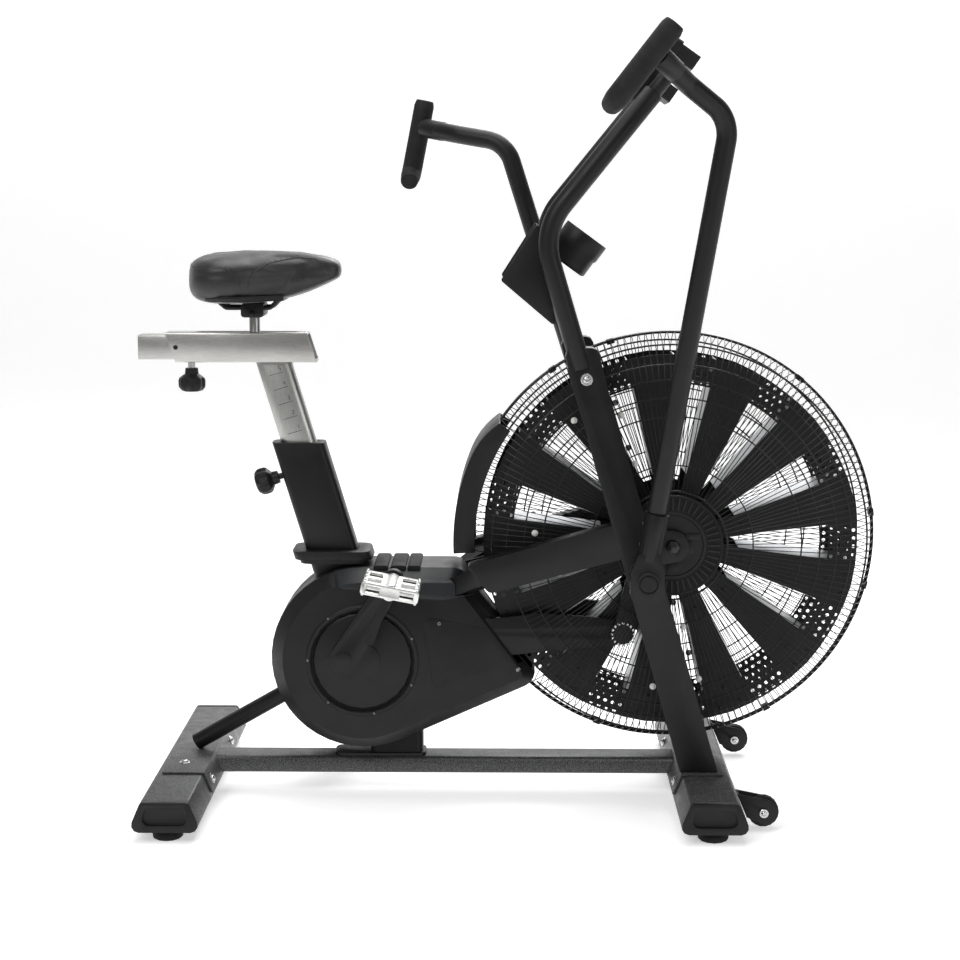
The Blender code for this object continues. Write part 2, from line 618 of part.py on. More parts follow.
def cage(side, name):
    """One bowl of the guard: radial bars between rings, thickened from a polar grid."""
    ring_gaps = {0, 2, 4, 7}
    bm = bmesh.new()
    bar_half = 0.0016
    rows = []
    for radius, y in cage_profile():
        row = []
        for i in range(CAGE_BARS):
            for edge in (-1, 1):
                angle = math.tau * i / CAGE_BARS + edge * bar_half / max(radius, 0.12)
                x, z = fan_point(radius, angle)
                row.append(bm.verts.new((x, side * y, z)))
        rows.append(row)
    count = len(rows[0])
    for k, (inner, outer) in enumerate(zip(rows, rows[1:])):
        for i in range(count):
            if k in ring_gaps or i % 2 == 0:
                j = (i + 1) % count
                bm.faces.new((inner[i], inner[j], outer[j], outer[i]))
    guard = object_from(bm)
    thicken = guard.modifiers.new("thicken", "SOLIDIFY")
    thicken.thickness = 0.0026
    thicken.offset = 0
    apply_modifiers(guard)
    path = sorted((side * 0.050, side * 0.0725))
    rod_room = box((-0.10, path[0], 0.215), (0.040, path[1], 0.335))
    guard = cut(guard, housing_body(-0.0015, HOUSING_HALF_WIDTH + 0.0015), rod_room, horn(side, 0.0015),
                belt_loop(0.0065, 0.004))
    dress(largest_piece(guard), f"{name}_fan_cage", "black_paint")


def largest_piece(thing):
    """Keep the biggest connected body, dropping bar ends that a cut has left loose."""
    bm = bmesh.new()
    bm.from_mesh(thing.data)
    groups, seen = [], set()
    for vert in bm.verts:
        if vert in seen:
            continue
        stack, group = [vert], []
        seen.add(vert)
        while stack:
            here = stack.pop()
            group.append(here)
            for edge in here.link_edges:
                other = edge.other_vert(here)
                if other not in seen:
                    seen.add(other)
                    stack.append(other)
        groups.append(group)
    groups.sort(key=len)
    for group in groups[:-1]:
        bmesh.ops.delete(bm, geom=group, context="VERTS")
    bm.to_mesh(thing.data)
    bm.free()
    return thing


def hub_cover(side, name):
    cover = turned([(0.0085, 0.0930), (HUB_RADIUS, 0.0930), (HUB_RADIUS, 0.0952), (0.0808, 0.0970),
                    (0.0085, 0.0970)],
                   FAN_AXLE, (0, side, 0), 28)
    cover = cut(cover, rod(LEVER_PIVOT + Vector((0, side * 0.05, 0)),
                           LEVER_PIVOT + Vector((0, side * 0.12, 0)), 0.0150, 16))
    slots = []
    for i in range(16):
        angle = math.tau * i / 16
        if 2.6 < angle < 5.0:
            continue
        along = Vector((math.cos(angle), 0, math.sin(angle)))
        across = Vector((-along.z, 0, along.x)) * 0.0022
        corners = [FAN_AXLE + along * r + across * s for r,
                   s in ((0.058, -1), (0.075, -1), (0.075, 1), (0.058, 1))]
        slots.append(prism([(c.x, c.z) for c in corners], side * 0.085, side * 0.105))
    dress(cut(cover, *slots), f"{name}_hub_cover", "black_plastic")


def wind_shield():
    """A curved hood on the rear of the guard."""
    start, end = math.radians(145), math.radians(183)
    outer = [fan_point(0.353 - 0.0130 * max(0.0, 1 - i / 5) ** 2,
                       start + (end - start) * i / 16) for i in range(17)]
    hood = prism(outer + arc((FAN_AXLE.x, FAN_AXLE.z), 0.318, end, start, 16), -0.0735, 0.0735)
    room = [fan_point(0.350 - 0.0130 * max(0.0, 1 - i / 5) ** 2,
                      start + (end - start) * i / 16) for i in range(17)]
    room = [fan_point(0.334, start - 0.1)] + room + [fan_point(0.350, end + 0.1)] + \
        arc((FAN_AXLE.x, FAN_AXLE.z), 0.30, end + 0.1, start - 0.1, 16)
    hood = cut(hood, prism(room, -0.0710, 0.0710), housing_body(-0.0012, HOUSING_HALF_WIDTH + 0.002))
    dress(largest_piece(hood), "wind_shield", "black_plastic")


# ---- side frames and levers ---------------------------------------------------------------
def horn(side, margin):
    """The lug that carries a side frame's arm into the casing, grown by margin."""
    outer = [(-0.052, 0.3660), (0.004, 0.3780), (0.004, 0.4150), (-0.052, 0.4010)]
    inner = [(-0.108, 0.3350), (-0.080, 0.3420), (-0.080, 0.3720), (-0.108, 0.3650)]
    rings = [[(x, side * 0.057, z) for x, z in inset(inner, -margin)],
             [(x, side * 0.100, z) for x, z in inset(outer, -margin)]]
    return loft(rings)


def side_frame(side, name):
    """Upright, arm, lever boss and axle lug, welded together."""
    def place(y):
        return side * y

    upright = [(0.2785, 0.0690), (0.3400, 0.0690), (0.1775, 0.6200), (0.1555, 0.6950), (0.1400, 0.7560),
               (0.0865, 0.7560), (0.1000, 0.6950), (0.1235, 0.6200)]
    frame = prism(rounded(upright, [0.001, 0.001, 0.05, 0.05, 0.012, 0.012, 0.05, 0.05], 2), place(0.098),
                  place(0.130))
    arm = [(-0.0300, 0.3622), (0.2050, 0.4250), (0.1850, 0.4790), (-0.0670, 0.4070)]
    frame = weld(frame, prism(rounded(arm, [0.010, 0.001, 0.001, 0.004], 2), place(0.0975), place(0.1296)))
    frame = weld(frame, horn(side, 0.0))
    pivot = LEVER_PIVOT
    frame = weld(frame, rod(pivot + Vector((0, place(0.101), 0)), pivot + Vector((0, place(0.150), 0)),
                            0.026, 16))
    lug = capsule((0.218, 0.430), 0.028, (FAN_AXLE.x, FAN_AXLE.z), 0.026, 8)
    frame = weld(frame, prism(lug, place(0.0985), place(0.1065)))
    channel = tube(mast_path(side), MAST_RADIUS + GAP, 12)
    shaft_bore = rod(pivot + Vector((0, place(0.05), 0)), pivot + Vector((0, place(0.2), 0)), 0.0132, 16)
    axle_bore = rod(FAN_AXLE + Vector((0, place(0.05), 0)), FAN_AXLE + Vector((0, place(0.2), 0)), 0.0064,
                    16)
    dress(cut(frame, channel, shaft_bore, axle_bore), f"{name}_side_frame", "black_paint")


def mast_path(side):
    corners = [(0.1155, side * MAST_Y, 0.7220), (0.0513, side * MAST_Y, 0.9373),
               (MAST_END.x, side * MAST_END.y, MAST_END.z)]
    return smooth_path(corners, [0.10], 6)


def lever(side, name):
    """Clamp bracket with shaft and rocker, lever tube and padded grip, at the right lever's angle."""
    def at(x, y, z):
        return (x, -y, z)

    pivot = Vector((LEVER_PIVOT.x, 0, LEVER_PIVOT.z))
    plate = rounded([(0.1915, 0.3700), (0.2050, 0.3620), (0.2350, 0.3640), (0.2440, 0.3760),
                     (0.2440, 0.4120),
                     (0.2370, 0.4400), (0.2030, 0.4400), (0.1915, 0.4120)], 0.004, 2)
    bracket = prism(plate, -0.1670, -0.2030)
    bracket = weld(bracket, rod(at(pivot.x, 0.0700, pivot.z), at(pivot.x, 0.2060, pivot.z), 0.0125, 16))
    bracket = weld(bracket, rod(at(pivot.x, 0.1525, pivot.z), at(pivot.x, 0.1680, pivot.z), 0.0215, 16))
    socket_low, socket_high = (0.2190, -LEVER_Y, 0.4290), (0.2325, -0.1893, 0.5030)
    bracket = weld(bracket, rod(socket_low, socket_high, 0.0195, 14))
    rocker = capsule((pivot.x, pivot.z), 0.0230, (ROCKER_PIN.x, ROCKER_PIN.z), 0.0165)
    bracket = weld(bracket, prism(rocker, *ROCKER_Y))
    bracket = weld(bracket, rod(at(ROCKER_PIN.x, 0.0590, ROCKER_PIN.z),
                                at(ROCKER_PIN.x, 0.0740, ROCKER_PIN.z), 0.0080, 16))
    corners = [(0.2203, -0.1854, 0.4370), (0.3305, -0.2200, 1.1060), (0.2640, -0.2520, 1.1560),
               (0.2150, -0.3165, 1.1950)]
    path = smooth_path(corners, [0.055, 0.035], 5)
    bracket = cut(bracket, tube([path[0], path[0] + (path[1] - path[0]) * 0.3], LEVER_RADIUS + GAP * 1.5,
                                14))
    grip_path = smooth_path([(0.2372, -0.3350, 1.2382), (0.1582, -0.3350, 1.1371),
                             (0.1480, -0.3020, 1.1240)],
                            [0.020], 4)
    grip = tube(grip_path, GRIP_RADIUS, 12)
    pieces = ((bracket, "lever_bracket", "black_paint"),
              (tube(path, LEVER_RADIUS, 12), "lever_tube", "black_paint"),
              (grip, "lever_grip", "rubber"))
    for piece, label, finish in pieces:
        if side > 0:
            piece.data.transform(Matrix.Diagonal((1, -1, 1, 1)))
            piece.data.flip_normals()
            turn_about(piece, LEVER_PIVOT, -LEVER_SWING)
        dress(piece, f"{name}_{label}", finish)


def mast():
    for side, name in ((-1, "right"), (1, "left")):
        dress(tube(mast_path(side), MAST_RADIUS, 12), f"{name}_mast_tube", "black_paint")


# ---- what the mast carries ----------------------------------------------------------------
def accessory_tray():
    """A wedge-shaped box between the mast tubes, open towards the rider."""
    side = [(-0.0129, 0.8591), (0.0770, 0.7830), (0.0600, 0.8700), (0.0470, 0.9531)]
    room = [(-0.0330, 0.8650), (0.0700, 0.7960), (0.0555, 0.8700), (0.0400, 0.9800)]
    wedge = prism(rounded(side, [0.004, 0.004, 0.02, 0.004], 2), -0.088, 0.088)
    dress(cut(wedge, prism(room, -0.085, 0.085)), "accessory_tray", "black_plastic")


def bottle_holder():
    """A cup with a hoop, in front of the mast."""
    along = Vector((0.592, 0, 0.806))
    origin = Vector((0.1185, 0.0, 0.9180))
    profile = [(0, -0.046), (0.033, -0.046), (0.036, -0.043), (0.036, -0.018), (0.0385, -0.014),
               (0.0385, 0.014),
               (0.035, 0.014), (0.035, -0.016), (0.0325, -0.042), (0, -0.042)]
    dress(turned(profile, origin, along, 18), "bottle_holder", "black_plastic")


def console():
    """Display housing with its lens, across the top of the mast."""
    along = Vector((0.573, 0, 0.819)).normalized()
    face = Vector((-along.z, 0, along.x))
    centre = Vector((0.2279, 0, 1.1885))

    def slab(half_long, low, high, half_wide, corner, middle=centre):
        outline = rounded([(-half_long, -half_wide), (half_long, -half_wide), (half_long, half_wide),
                           (-half_long, half_wide)], corner)
        return loft([[middle + along * u + face * t + Vector((0, v, 0)) for u, v in outline]
                     for t in (low, high)])

    body = slab(0.060, -0.014, 0.014, 0.085, 0.018)
    for offset, half in ((-0.0157, 0.0125), (0.0455, 0.0125)):
        body = weld(body, slab(half, -0.050, -0.010, 0.050, 0.004, centre + along * offset))
    reach = Vector((0.629, 0, 0.777))
    for side in (-1, 1):
        end = Vector((MAST_END.x, side * MAST_END.y, MAST_END.z))
        body = weld(body, rod(end + reach * 0.0006, end + reach * 0.0420, 0.0125, 16))
    body = weld(body, rod((0.2400, -0.1100, 1.1700), (0.2400, 0.1100, 1.1700), 0.0085, 14))
    body = cut(body, slab(0.042, 0.0115, 0.03, 0.066, 0.008))
    dress(body, "console_body", "black_plastic")
    dress(slab(0.0415, 0.0119, 0.0138, 0.0655, 0.008), "console_screen", "screen")


# ---- seat ---------------------------------------------------------------------------------
def post_knob_point(distance):
    """A point on the seat tube lock's axis; 0 is on the tube's centre line, rearwards is positive."""
    height = 0.5460
    lean = math.atan(-SEAT_LEAN)
    return Vector((seat_x(height) - distance * math.cos(lean), 0, height - distance * math.sin(lean)))


def pull_knob(origin, axis, stem, name):
    """A pin with a round handle; the origin is the pin's tip."""
    profile = [(0, 0), (0.0050, 0), (0.0050, stem), (0.0105, stem + 0.0005), (0.0115, stem + 0.010),
               (0.0165, stem + 0.013), (0.0225, stem + 0.019), (0.0225, stem + 0.031), (0.0185,
                                                                                        stem + 0.0385),
               (0, stem + 0.0395)]
    dress(turned(profile, origin, axis, 14), name, "black_plastic")


def seat():
    post = leaning_block(0.0298, 0.0150, 0.0146, 0.440, SLEEVE_LOW_Z - GAP)
    dress(post, "seat_post", "aluminium")
    low, high = SLEEVE_LOW_Z, SLEEVE_HIGH_Z
    section = rounded([(-0.0235, low), (0.0235, low), (0.0235, high), (-0.0235, high)], 0.003, 2)
    sleeve = loft([[(end - 0.32 * (z - low), y, z) for y, z in section] for end in (-0.5420, -0.3120)])
    sleeve = cut(sleeve, box((-0.60, -0.0202, low + 0.0037), (-0.25, 0.0202, high - 0.0037)))
    slot = [(x, y) for x, y in capsule((-0.501, 0), 0.0108, (-0.354, 0), 0.0108 - 1e-5, 6)]
    knob_x = -0.519
    sleeve = cut(sleeve, prism(slot, high - 0.02, high + 0.02, "Z"),
                 rod((knob_x, 0, low - 0.01), (knob_x, 0, low + 0.01), 0.0054, 12))
    dress(sleeve, "seat_slider_sleeve", "aluminium")
    slide = prism(rounded([(-0.0197, low + 0.0042), (0.0197, low + 0.0042), (0.0197, high - 0.0042),
                           (-0.0197, high - 0.0042)], 0.002, 2), -0.603, -0.3450, "X")
    stub = turned([(0, 0), (0.0088, 0), (0.0088, 0.037), (0.0070, 0.0385), (0, 0.0385)],
                  (SADDLE_STUB_X, 0, high - 0.008), (0, 0, 1), 18)
    dress(weld(slide, stub), "saddle_slide", "aluminium")
    pull_knob((knob_x, 0, low + 0.0036), (0, 0, -1), 0.014, "slider_lock_knob")
    direction = (post_knob_point(1.0) - post_knob_point(0.0)).normalized()
    pull_knob(post_knob_point(0.0291), direction, 0.0205, "seat_post_lock_knob")


def saddle_outline(scale):
    """Half widths along the saddle, from the wide tail to the nose."""
    stations = [(-0.519, 0.030), (-0.515, 0.062), (-0.500, 0.088), (-0.470, 0.104), (-0.435, 0.103),
                (-0.400, 0.083),
                (-0.365, 0.058), (-0.330, 0.042), (-0.295, 0.034), (-0.275, 0.028), (-0.268, 0.018)]
    middle = -0.394
    points = [(middle + (x - middle) * scale, y * scale) for x, y in stations]
    return [(x, -y) for x, y in points] + points[::-1]


def saddle():
    """A cushion whose skirt hides the pan, and the pan with its two rails."""
    levels = [(0.8215, 0.93), (0.8300, 0.98), (0.8600, 1.0), (0.8800, 0.985), (0.8930, 0.92),
              (0.8990, 0.80)]
    cushion = loft([[(x, y, z) for x, y in saddle_outline(s)] for z, s in levels])
    under_nose = prism([(-0.60, 0.70), (-0.20, 0.70), (-0.20, 0.8935), (-0.269, 0.8610), (-0.331, 0.8345),
                        (-0.410, 0.8200), (-0.60, 0.8190)], -0.2, 0.2)
    hollow = loft([[(x, y, z) for x, y in saddle_outline(0.86)] for z in (0.80, 0.8335)])
    dress(cut(cushion, under_nose, hollow), "saddle_cushion", "leather")
    pan = loft([[(x, y, z) for x, y in saddle_outline(s)] for z,
                s in ((0.8236, 0.80), (0.8290, 0.84), (0.8330, 0.84))])
    pan = cut(pan, box((-0.362, -0.2, 0.80), (-0.2, 0.2, 0.85)))
    for y in (-0.020, 0.020):
        rail = smooth_path([(-0.476, y, 0.8260), (-0.458, y, 0.8110), (-0.386, y, 0.8110),
                            (-0.371, y, 0.8260)],
                           [0.008, 0.008], 3)
        pan = weld(pan, tube(rail, 0.0036, 10))
    dress(pan, "saddle_pan", "black_plastic")


def saddle_clamp():
    """The block that grips the rails and tilts on the stub."""
    block = prism(rounded([(-0.4330, 0.7960), (-0.3960, 0.7960), (-0.3960, 0.8190), (-0.4330, 0.8190)],
                          0.005, 2),
                  -0.030, 0.030)
    stub = rod((SADDLE_STUB_X, 0, 0.78), (SADDLE_STUB_X, 0, 0.8032), 0.0100, 18)
    grooves = [rod((-0.48, y, 0.8110), (-0.34, y, 0.8110), 0.0041, 12) for y in (-0.020, 0.020)]
    bolt = rod((-0.4145, -0.0365, 0.8020), (-0.4145, 0.0365, 0.8020), 0.0042, 6)
    dress(cut(weld(block, bolt), stub, *grooves), "saddle_clamp", "black_paint")


# ---- joint origins ------------------------------------------------------------------------
def set_origins():
    """Parent every moving piece to an empty that stands on its joint's axis."""
    rod_pin = LEVER_PIVOT + Matrix.Rotation(-LEVER_SWING, 3, "Y") @ (ROCKER_PIN - LEVER_PIVOT)
    axes = {
        "fan_axis": (FAN_AXLE, ["fan_wheel", "fan_pulley"]),
        "crank_axis": (CRANK_AXLE, ["crank_axle", "crank_pulley", "right_crank_arm", "left_crank_arm"]),
        "right_pedal_axis": (crank_point(PEDAL_RADIUS, PEDAL_PHASE, -0.15), ["right_pedal"]),
        "left_pedal_axis": (crank_point(PEDAL_RADIUS, PEDAL_PHASE + math.pi, 0.15), ["left_pedal"]),
        "right_lever_axis": (LEVER_PIVOT, ["right_lever_bracket", "right_lever_tube", "right_lever_grip"]),
        "left_lever_axis": (LEVER_PIVOT, ["left_lever_bracket", "left_lever_tube", "left_lever_grip"]),
        "right_rod_axis": (ROCKER_PIN, ["right_connecting_rod"]),
        "left_rod_axis": (rod_pin, ["left_connecting_rod"]),
        "saddle_tilt_axis": (Vector((-0.4145, 0, 0.8000)),
                             ["saddle_cushion", "saddle_pan", "saddle_clamp"]),
        "right_wheel_axis": (Vector((WHEEL_AXLE.x, -WHEEL_AXLE.y, WHEEL_AXLE.z)),
                             ["right_transport_wheel"]),
        "left_wheel_axis": (WHEEL_AXLE, ["left_transport_wheel"]),
    }
    for name, (place, pieces) in axes.items():
        empty = bpy.data.objects.new(name, None)
        empty.location = place
        bpy.context.scene.collection.objects.link(empty)
        for piece in pieces:
            child = bpy.data.objects[piece]
            child.parent = empty
            child.location = -Vector(place)


def build():
    clear_scene()
    foot("rear", REAR_FOOT_X)
    foot("front", FRONT_FOOT_X)
    main_beam()
    transport_wheel()
    seat_frame()
    collar()
    housing()
    crank()
    connecting_rod()
    belt()
    fan_wheel()
    for side, name in ((-1, "right"), (1, "left")):
        cage(side, name)
        hub_cover(side, name)
        side_frame(side, name)
        lever(side, name)
    wind_shield()
    mast()
    accessory_tray()
    bottle_holder()
    console()
    seat()
    saddle()
    saddle_clamp()
    set_origins()


build()
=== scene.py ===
"""Looks for the air bike: smooth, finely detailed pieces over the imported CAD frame.

Metres, in the CAD's frame: +X towards the fan, the rider's right side is -Y, +Z up.
"""
import json
import math

import bmesh
import bpy
from mathutils import Matrix, Vector, noise
from mathutils.bvhtree import BVHTree

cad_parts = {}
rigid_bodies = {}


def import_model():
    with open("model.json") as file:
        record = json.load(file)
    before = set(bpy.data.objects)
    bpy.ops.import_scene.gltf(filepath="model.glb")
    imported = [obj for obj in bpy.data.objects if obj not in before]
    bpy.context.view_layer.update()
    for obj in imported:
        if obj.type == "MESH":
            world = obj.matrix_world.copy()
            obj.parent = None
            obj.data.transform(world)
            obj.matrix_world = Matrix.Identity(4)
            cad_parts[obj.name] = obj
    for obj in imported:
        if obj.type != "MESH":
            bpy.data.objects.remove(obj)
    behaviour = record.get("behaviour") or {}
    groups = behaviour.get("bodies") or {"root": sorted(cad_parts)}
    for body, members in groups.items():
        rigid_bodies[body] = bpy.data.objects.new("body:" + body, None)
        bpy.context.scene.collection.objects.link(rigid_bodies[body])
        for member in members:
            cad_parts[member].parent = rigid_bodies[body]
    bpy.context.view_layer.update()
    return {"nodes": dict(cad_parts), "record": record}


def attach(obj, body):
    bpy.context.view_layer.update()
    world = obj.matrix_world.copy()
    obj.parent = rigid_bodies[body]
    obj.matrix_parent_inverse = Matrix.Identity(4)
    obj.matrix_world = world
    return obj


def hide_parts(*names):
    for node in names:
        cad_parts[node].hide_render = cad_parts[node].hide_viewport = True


for thing in list(bpy.data.objects):
    bpy.data.objects.remove(thing, do_unlink=True)
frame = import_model()
NODES = frame["nodes"]
BODY_OF = {node: body for body, nodes in frame["record"]["behaviour"]["bodies"].items() for node in nodes}
SLOT_OF = {entry["node"]: entry["material_slot"] for entry in frame["record"]["subparts"]}

FAN = Vector((0.264, 0.0, 0.435))
CRANK = Vector((-0.238, 0.0, 0.238))
PIVOT = Vector((0.219, 0.0, 0.394))
PIN = Vector((0.1873, 0.0, 0.2855))
SWING = math.radians(27)
CRANK_THROW = 0.149
CRANK_PHASES = {"right": math.radians(69.3), "left": math.radians(249.3)}
SEAT_LEAN = 0.3015
MAST_Y = 0.120
GUARD_WIRES = 180
GUARD_RIM = 0.3366
SIDES = ((-1, "right"), (1, "left"))


# ---- materials -----------------------------------------------------------------------------
class Finish:
    """A Principled material with a few procedural layers, added one call at a time."""

    def __init__(self, name, colour, roughness, metallic=0.0, coat=0.0, specular=0.5):
        self.material = bpy.data.materials.new(name)
        self.material.use_nodes = True
        self.tree = self.material.node_tree
        self.shader = self.tree.nodes["Principled BSDF"]
        self.shader.inputs["Base Color"].default_value = (*colour, 1)
        self.shader.inputs["Roughness"].default_value = roughness
        self.shader.inputs["Metallic"].default_value = metallic
        self.shader.inputs["Coat Weight"].default_value = coat
        self.shader.inputs["Coat Roughness"].default_value = 0.25
        self.shader.inputs["Specular IOR Level"].default_value = specular
        self.colour = (*colour, 1)
        self.place = self.node("ShaderNodeTexCoord").outputs["Object"]
        self.bumped = None

    def node(self, kind, **values):
        made = self.tree.nodes.new(kind)
        for key, value in values.items():
            setattr(made, key, value)
        return made

    def link(self, source, target):
        self.tree.links.new(source, target)

    def stretched(self, scale):
        mapping = self.node("ShaderNodeMapping")
        mapping.inputs["Scale"].default_value = scale
        self.link(self.place, mapping.inputs["Vector"])
        return mapping.outputs["Vector"]

    def noise(self, scale, detail=3.0, stretch=None, rough=0.55):
        made = self.node("ShaderNodeTexNoise")
        made.inputs["Scale"].default_value = scale
        made.inputs["Detail"].default_value = detail
        made.inputs["Roughness"].default_value = rough
        self.link(self.stretched(stretch) if stretch else self.place, made.inputs["Vector"])
        return made.outputs["Fac"]

    def cells(self, scale, output="Distance", feature="F1"):
        made = self.node("ShaderNodeTexVoronoi", feature=feature)
        made.inputs["Scale"].default_value = scale
        self.link(self.place, made.inputs["Vector"])
        return made.outputs[output]

    def ramp(self, source, low, high, first=0.0, last=1.0):
        made = self.node("ShaderNodeMapRange")
        for key, value in (("From Min", low), ("From Max", high), ("To Min", first), ("To Max", last)):
            made.inputs[key].default_value = value
        self.link(source, made.inputs["Value"])
        return made.outputs["Result"]

    def tint(self, factor, colour):
        """Mixes the colour so far towards another one by a factor between 0 and 1."""
        mix = self.node("ShaderNodeMix", data_type="RGBA")
        socket = self.shader.inputs["Base Color"]
        if socket.is_linked:
            self.link(socket.links[0].from_socket, mix.inputs[6])
        else:
            mix.inputs[6].default_value = self.colour
        mix.inputs[7].default_value = (*colour, 1)
        self.link(factor, mix.inputs[0])
        self.link(mix.outputs[2], socket)
        return self

    def shine(self, source, low, high):
        self.link(self.ramp(source, 0.3, 0.7, low, high), self.shader.inputs["Roughness"])
        return self

    def bump(self, height, strength, distance):
        made = self.node("ShaderNodeBump")
        made.inputs["Strength"].default_value = strength
        made.inputs["Distance"].default_value = distance
        self.link(height, made.inputs["Height"])
        if self.bumped:
            self.link(self.bumped, made.inputs["Normal"])
        self.bumped = made.outputs["Normal"]
        self.link(self.bumped, self.shader.inputs["Normal"])
        return self

    def worn_edges(self, colour, strength):
        """Lightens the narrow band where two faces meet, as handled paint does."""
        soft = self.node("ShaderNodeBevel", samples=4)
        soft.inputs["Radius"].default_value = 0.0014
        flat = self.node("ShaderNodeNewGeometry").outputs["Normal"]
        dot = self.node("ShaderNodeVectorMath", operation="DOT_PRODUCT")
        self.link(soft.outputs["Normal"], dot.inputs[0])
        self.link(flat, dot.inputs[1])
        return self.tint(self.ramp(dot.outputs["Value"], 0.985, 0.80, 0.0, strength), colour)


def powder_coat():
    made = Finish("powder_coat", (0.0046, 0.0047, 0.0051), 0.40, specular=0.30)
    made.tint(made.ramp(made.noise(9, 4), 0.35, 0.75, 0, 0.5), (0.0078, 0.0078, 0.0084))
    made.worn_edges((0.028, 0.028, 0.029), 0.30)
    made.shine(made.noise(26, 5), 0.36, 0.50)
    return made.bump(made.noise(1500, 2), 0.22, 0.0002).bump(made.noise(160, 2), 0.10, 0.0004)


def speckled_coat():
    made = Finish("speckled_coat", (0.020, 0.021, 0.022), 0.36, 0.05)
    made.tint(made.ramp(made.noise(900, 2), 0.48, 0.60, 0, 0.8), (0.19, 0.19, 0.195))
    made.tint(made.ramp(made.noise(620, 2), 0.53, 0.60, 0, 0.85), (0.008, 0.008, 0.0085))
    made.shine(made.noise(40, 4), 0.34, 0.50)
    return made.bump(made.noise(1100, 2), 0.25, 0.0002)


def moulded(name, colour, light, roughness=0.46, grain=0.28):
    made = Finish(name, colour, roughness, specular=0.30)
    made.tint(made.ramp(made.noise(7, 4), 0.35, 0.7, 0, 0.7), light)
    made.tint(made.ramp(made.noise(1900, 1), 0.55, 0.75, 0, 0.35), tuple(c * 2.1 for c in colour))
    made.shine(made.noise(31, 5), roughness - 0.06, roughness + 0.08)
    return made.bump(made.cells(1700), grain, 0.00018)


def satin_aluminium(stretch, name="satin_aluminium", colour=(0.45, 0.445, 0.43), roughness=0.34):
    made = Finish(name, colour, roughness, 1.0)
    made.tint(made.ramp(made.noise(60, 4, stretch), 0.35, 0.7, 0, 0.5), tuple(c * 1.35 for c in colour))
    made.tint(made.ramp(made.noise(14, 4), 0.45, 0.8, 0, 0.35), tuple(c * 0.72 for c in colour))
    made.shine(made.noise(220, 3, stretch), roughness - 0.08, roughness + 0.10)
    return made.bump(made.noise(420, 2, stretch), 0.16, 0.0002)


def bright_metal(name, colour, roughness):
    made = Finish(name, colour, roughness, 1.0)
    made.tint(made.ramp(made.noise(85, 4), 0.4, 0.8, 0, 0.5), tuple(c * 0.6 for c in colour))
    made.shine(made.noise(130, 4), roughness - 0.05, roughness + 0.12)
    return made.bump(made.noise(700, 2), 0.10, 0.00015)


def rubber(name, colour, scale=900, strength=0.45):
    made = Finish(name, colour, 0.72, specular=0.3)
    made.tint(made.ramp(made.noise(35, 5), 0.4, 0.75, 0, 0.6), tuple(c * 1.9 for c in colour))
    made.shine(made.noise(60, 4), 0.64, 0.80)
    return made.bump(made.cells(scale), strength, 0.0003)


def leather():
    made = Finish("leather", (0.0072, 0.0074, 0.0082), 0.42, specular=0.45, coat=0.08)
    made.shader.inputs["Sheen Weight"].default_value = 0.15
    made.tint(made.ramp(made.noise(11, 5), 0.35, 0.75, 0, 0.8), (0.0145, 0.0148, 0.0160))
    pores = made.cells(620)
    made.tint(made.ramp(pores, 0.0, 0.28, 0.55, 0.0), (0.003, 0.003, 0.0035))
    made.shine(made.noise(45, 5), 0.36, 0.54)
    made.bump(made.cells(420, feature="SMOOTH_F1"), 0.42, 0.0006)
    return made.bump(made.noise(150, 4), 0.20, 0.0008)


def lens():
    made = Finish("display_lens", (0.012, 0.016, 0.018), 0.10, coat=0.6)
    made.tint(made.ramp(made.noise(22, 3), 0.4, 0.8, 0, 0.4), (0.022, 0.028, 0.030))
    made.shine(made.noise(70, 4), 0.07, 0.17)
    return made.bump(made.noise(35, 2), 0.03, 0.0003)


BLACK = (0.0050, 0.0050, 0.0055)
LOOKS = {
    "black_paint": powder_coat(),
    "grey_paint": speckled_coat(),
    "black_plastic": moulded("black_plastic", BLACK, (0.0085, 0.0085, 0.0093)),
    "slate_plastic": moulded("slate_plastic", (0.0105, 0.0115, 0.0130), (0.0155, 0.0170, 0.0190), 0.40),
    "aluminium": satin_aluminium((1, 14, 14)),
    "chrome": bright_metal("bright_zinc", (0.62, 0.62, 0.63), 0.22),
    "steel": bright_metal("turned_steel", (0.30, 0.30, 0.31), 0.34),
    "rubber": rubber("rubber", (0.0055, 0.0055, 0.0058)),
    "leather": leather(),
    "screen": lens(),
    "post_metal": satin_aluminium((14, 14, 1), "post_aluminium", (0.46, 0.46, 0.44)),
    "pedal_metal": bright_metal("cast_aluminium", (0.74, 0.74, 0.72), 0.30),
    "flange_metal": satin_aluminium((3, 3, 3), "flange_metal", (0.52, 0.53, 0.54), 0.42),
    "fan_paint": moulded("fan_paint", (0.0055, 0.0055, 0.0058), (0.0090, 0.0090, 0.0095), 0.50, 0.12),
    "wire": moulded("wire_coat", (0.0050, 0.0050, 0.0053), (0.0080, 0.0080, 0.0084), 0.34, 0.05),
    "foam": rubber("grip_foam", (0.0085, 0.0085, 0.0089), 1500, 0.6),
    "panel": moulded("panel_plastic", (0.0034, 0.0034, 0.0037), (0.0058, 0.0058, 0.0063), 0.50, 0.45),
    # Near-black material for painted shade: laid in the hub cover's slots and in the gap behind each crank
    # disc.
    "painted_shade_black": moulded("painted_shade_black", (0.0012, 0.0012, 0.0013), (0.0020, 0.0020, 0.0021), 0.70, 0.2),
    "dark_steel": bright_metal("dark_steel", (0.055, 0.055, 0.058), 0.38),
    "white": moulded("white_nylon", (0.62, 0.62, 0.60), (0.75, 0.75, 0.73), 0.40, 0.05),
    "thread": rubber("thread", (0.030, 0.031, 0.034), 2400, 0.5),
    "ink": moulded("dark_marks", (0.06, 0.06, 0.06), (0.09, 0.09, 0.09), 0.6, 0.02),
}


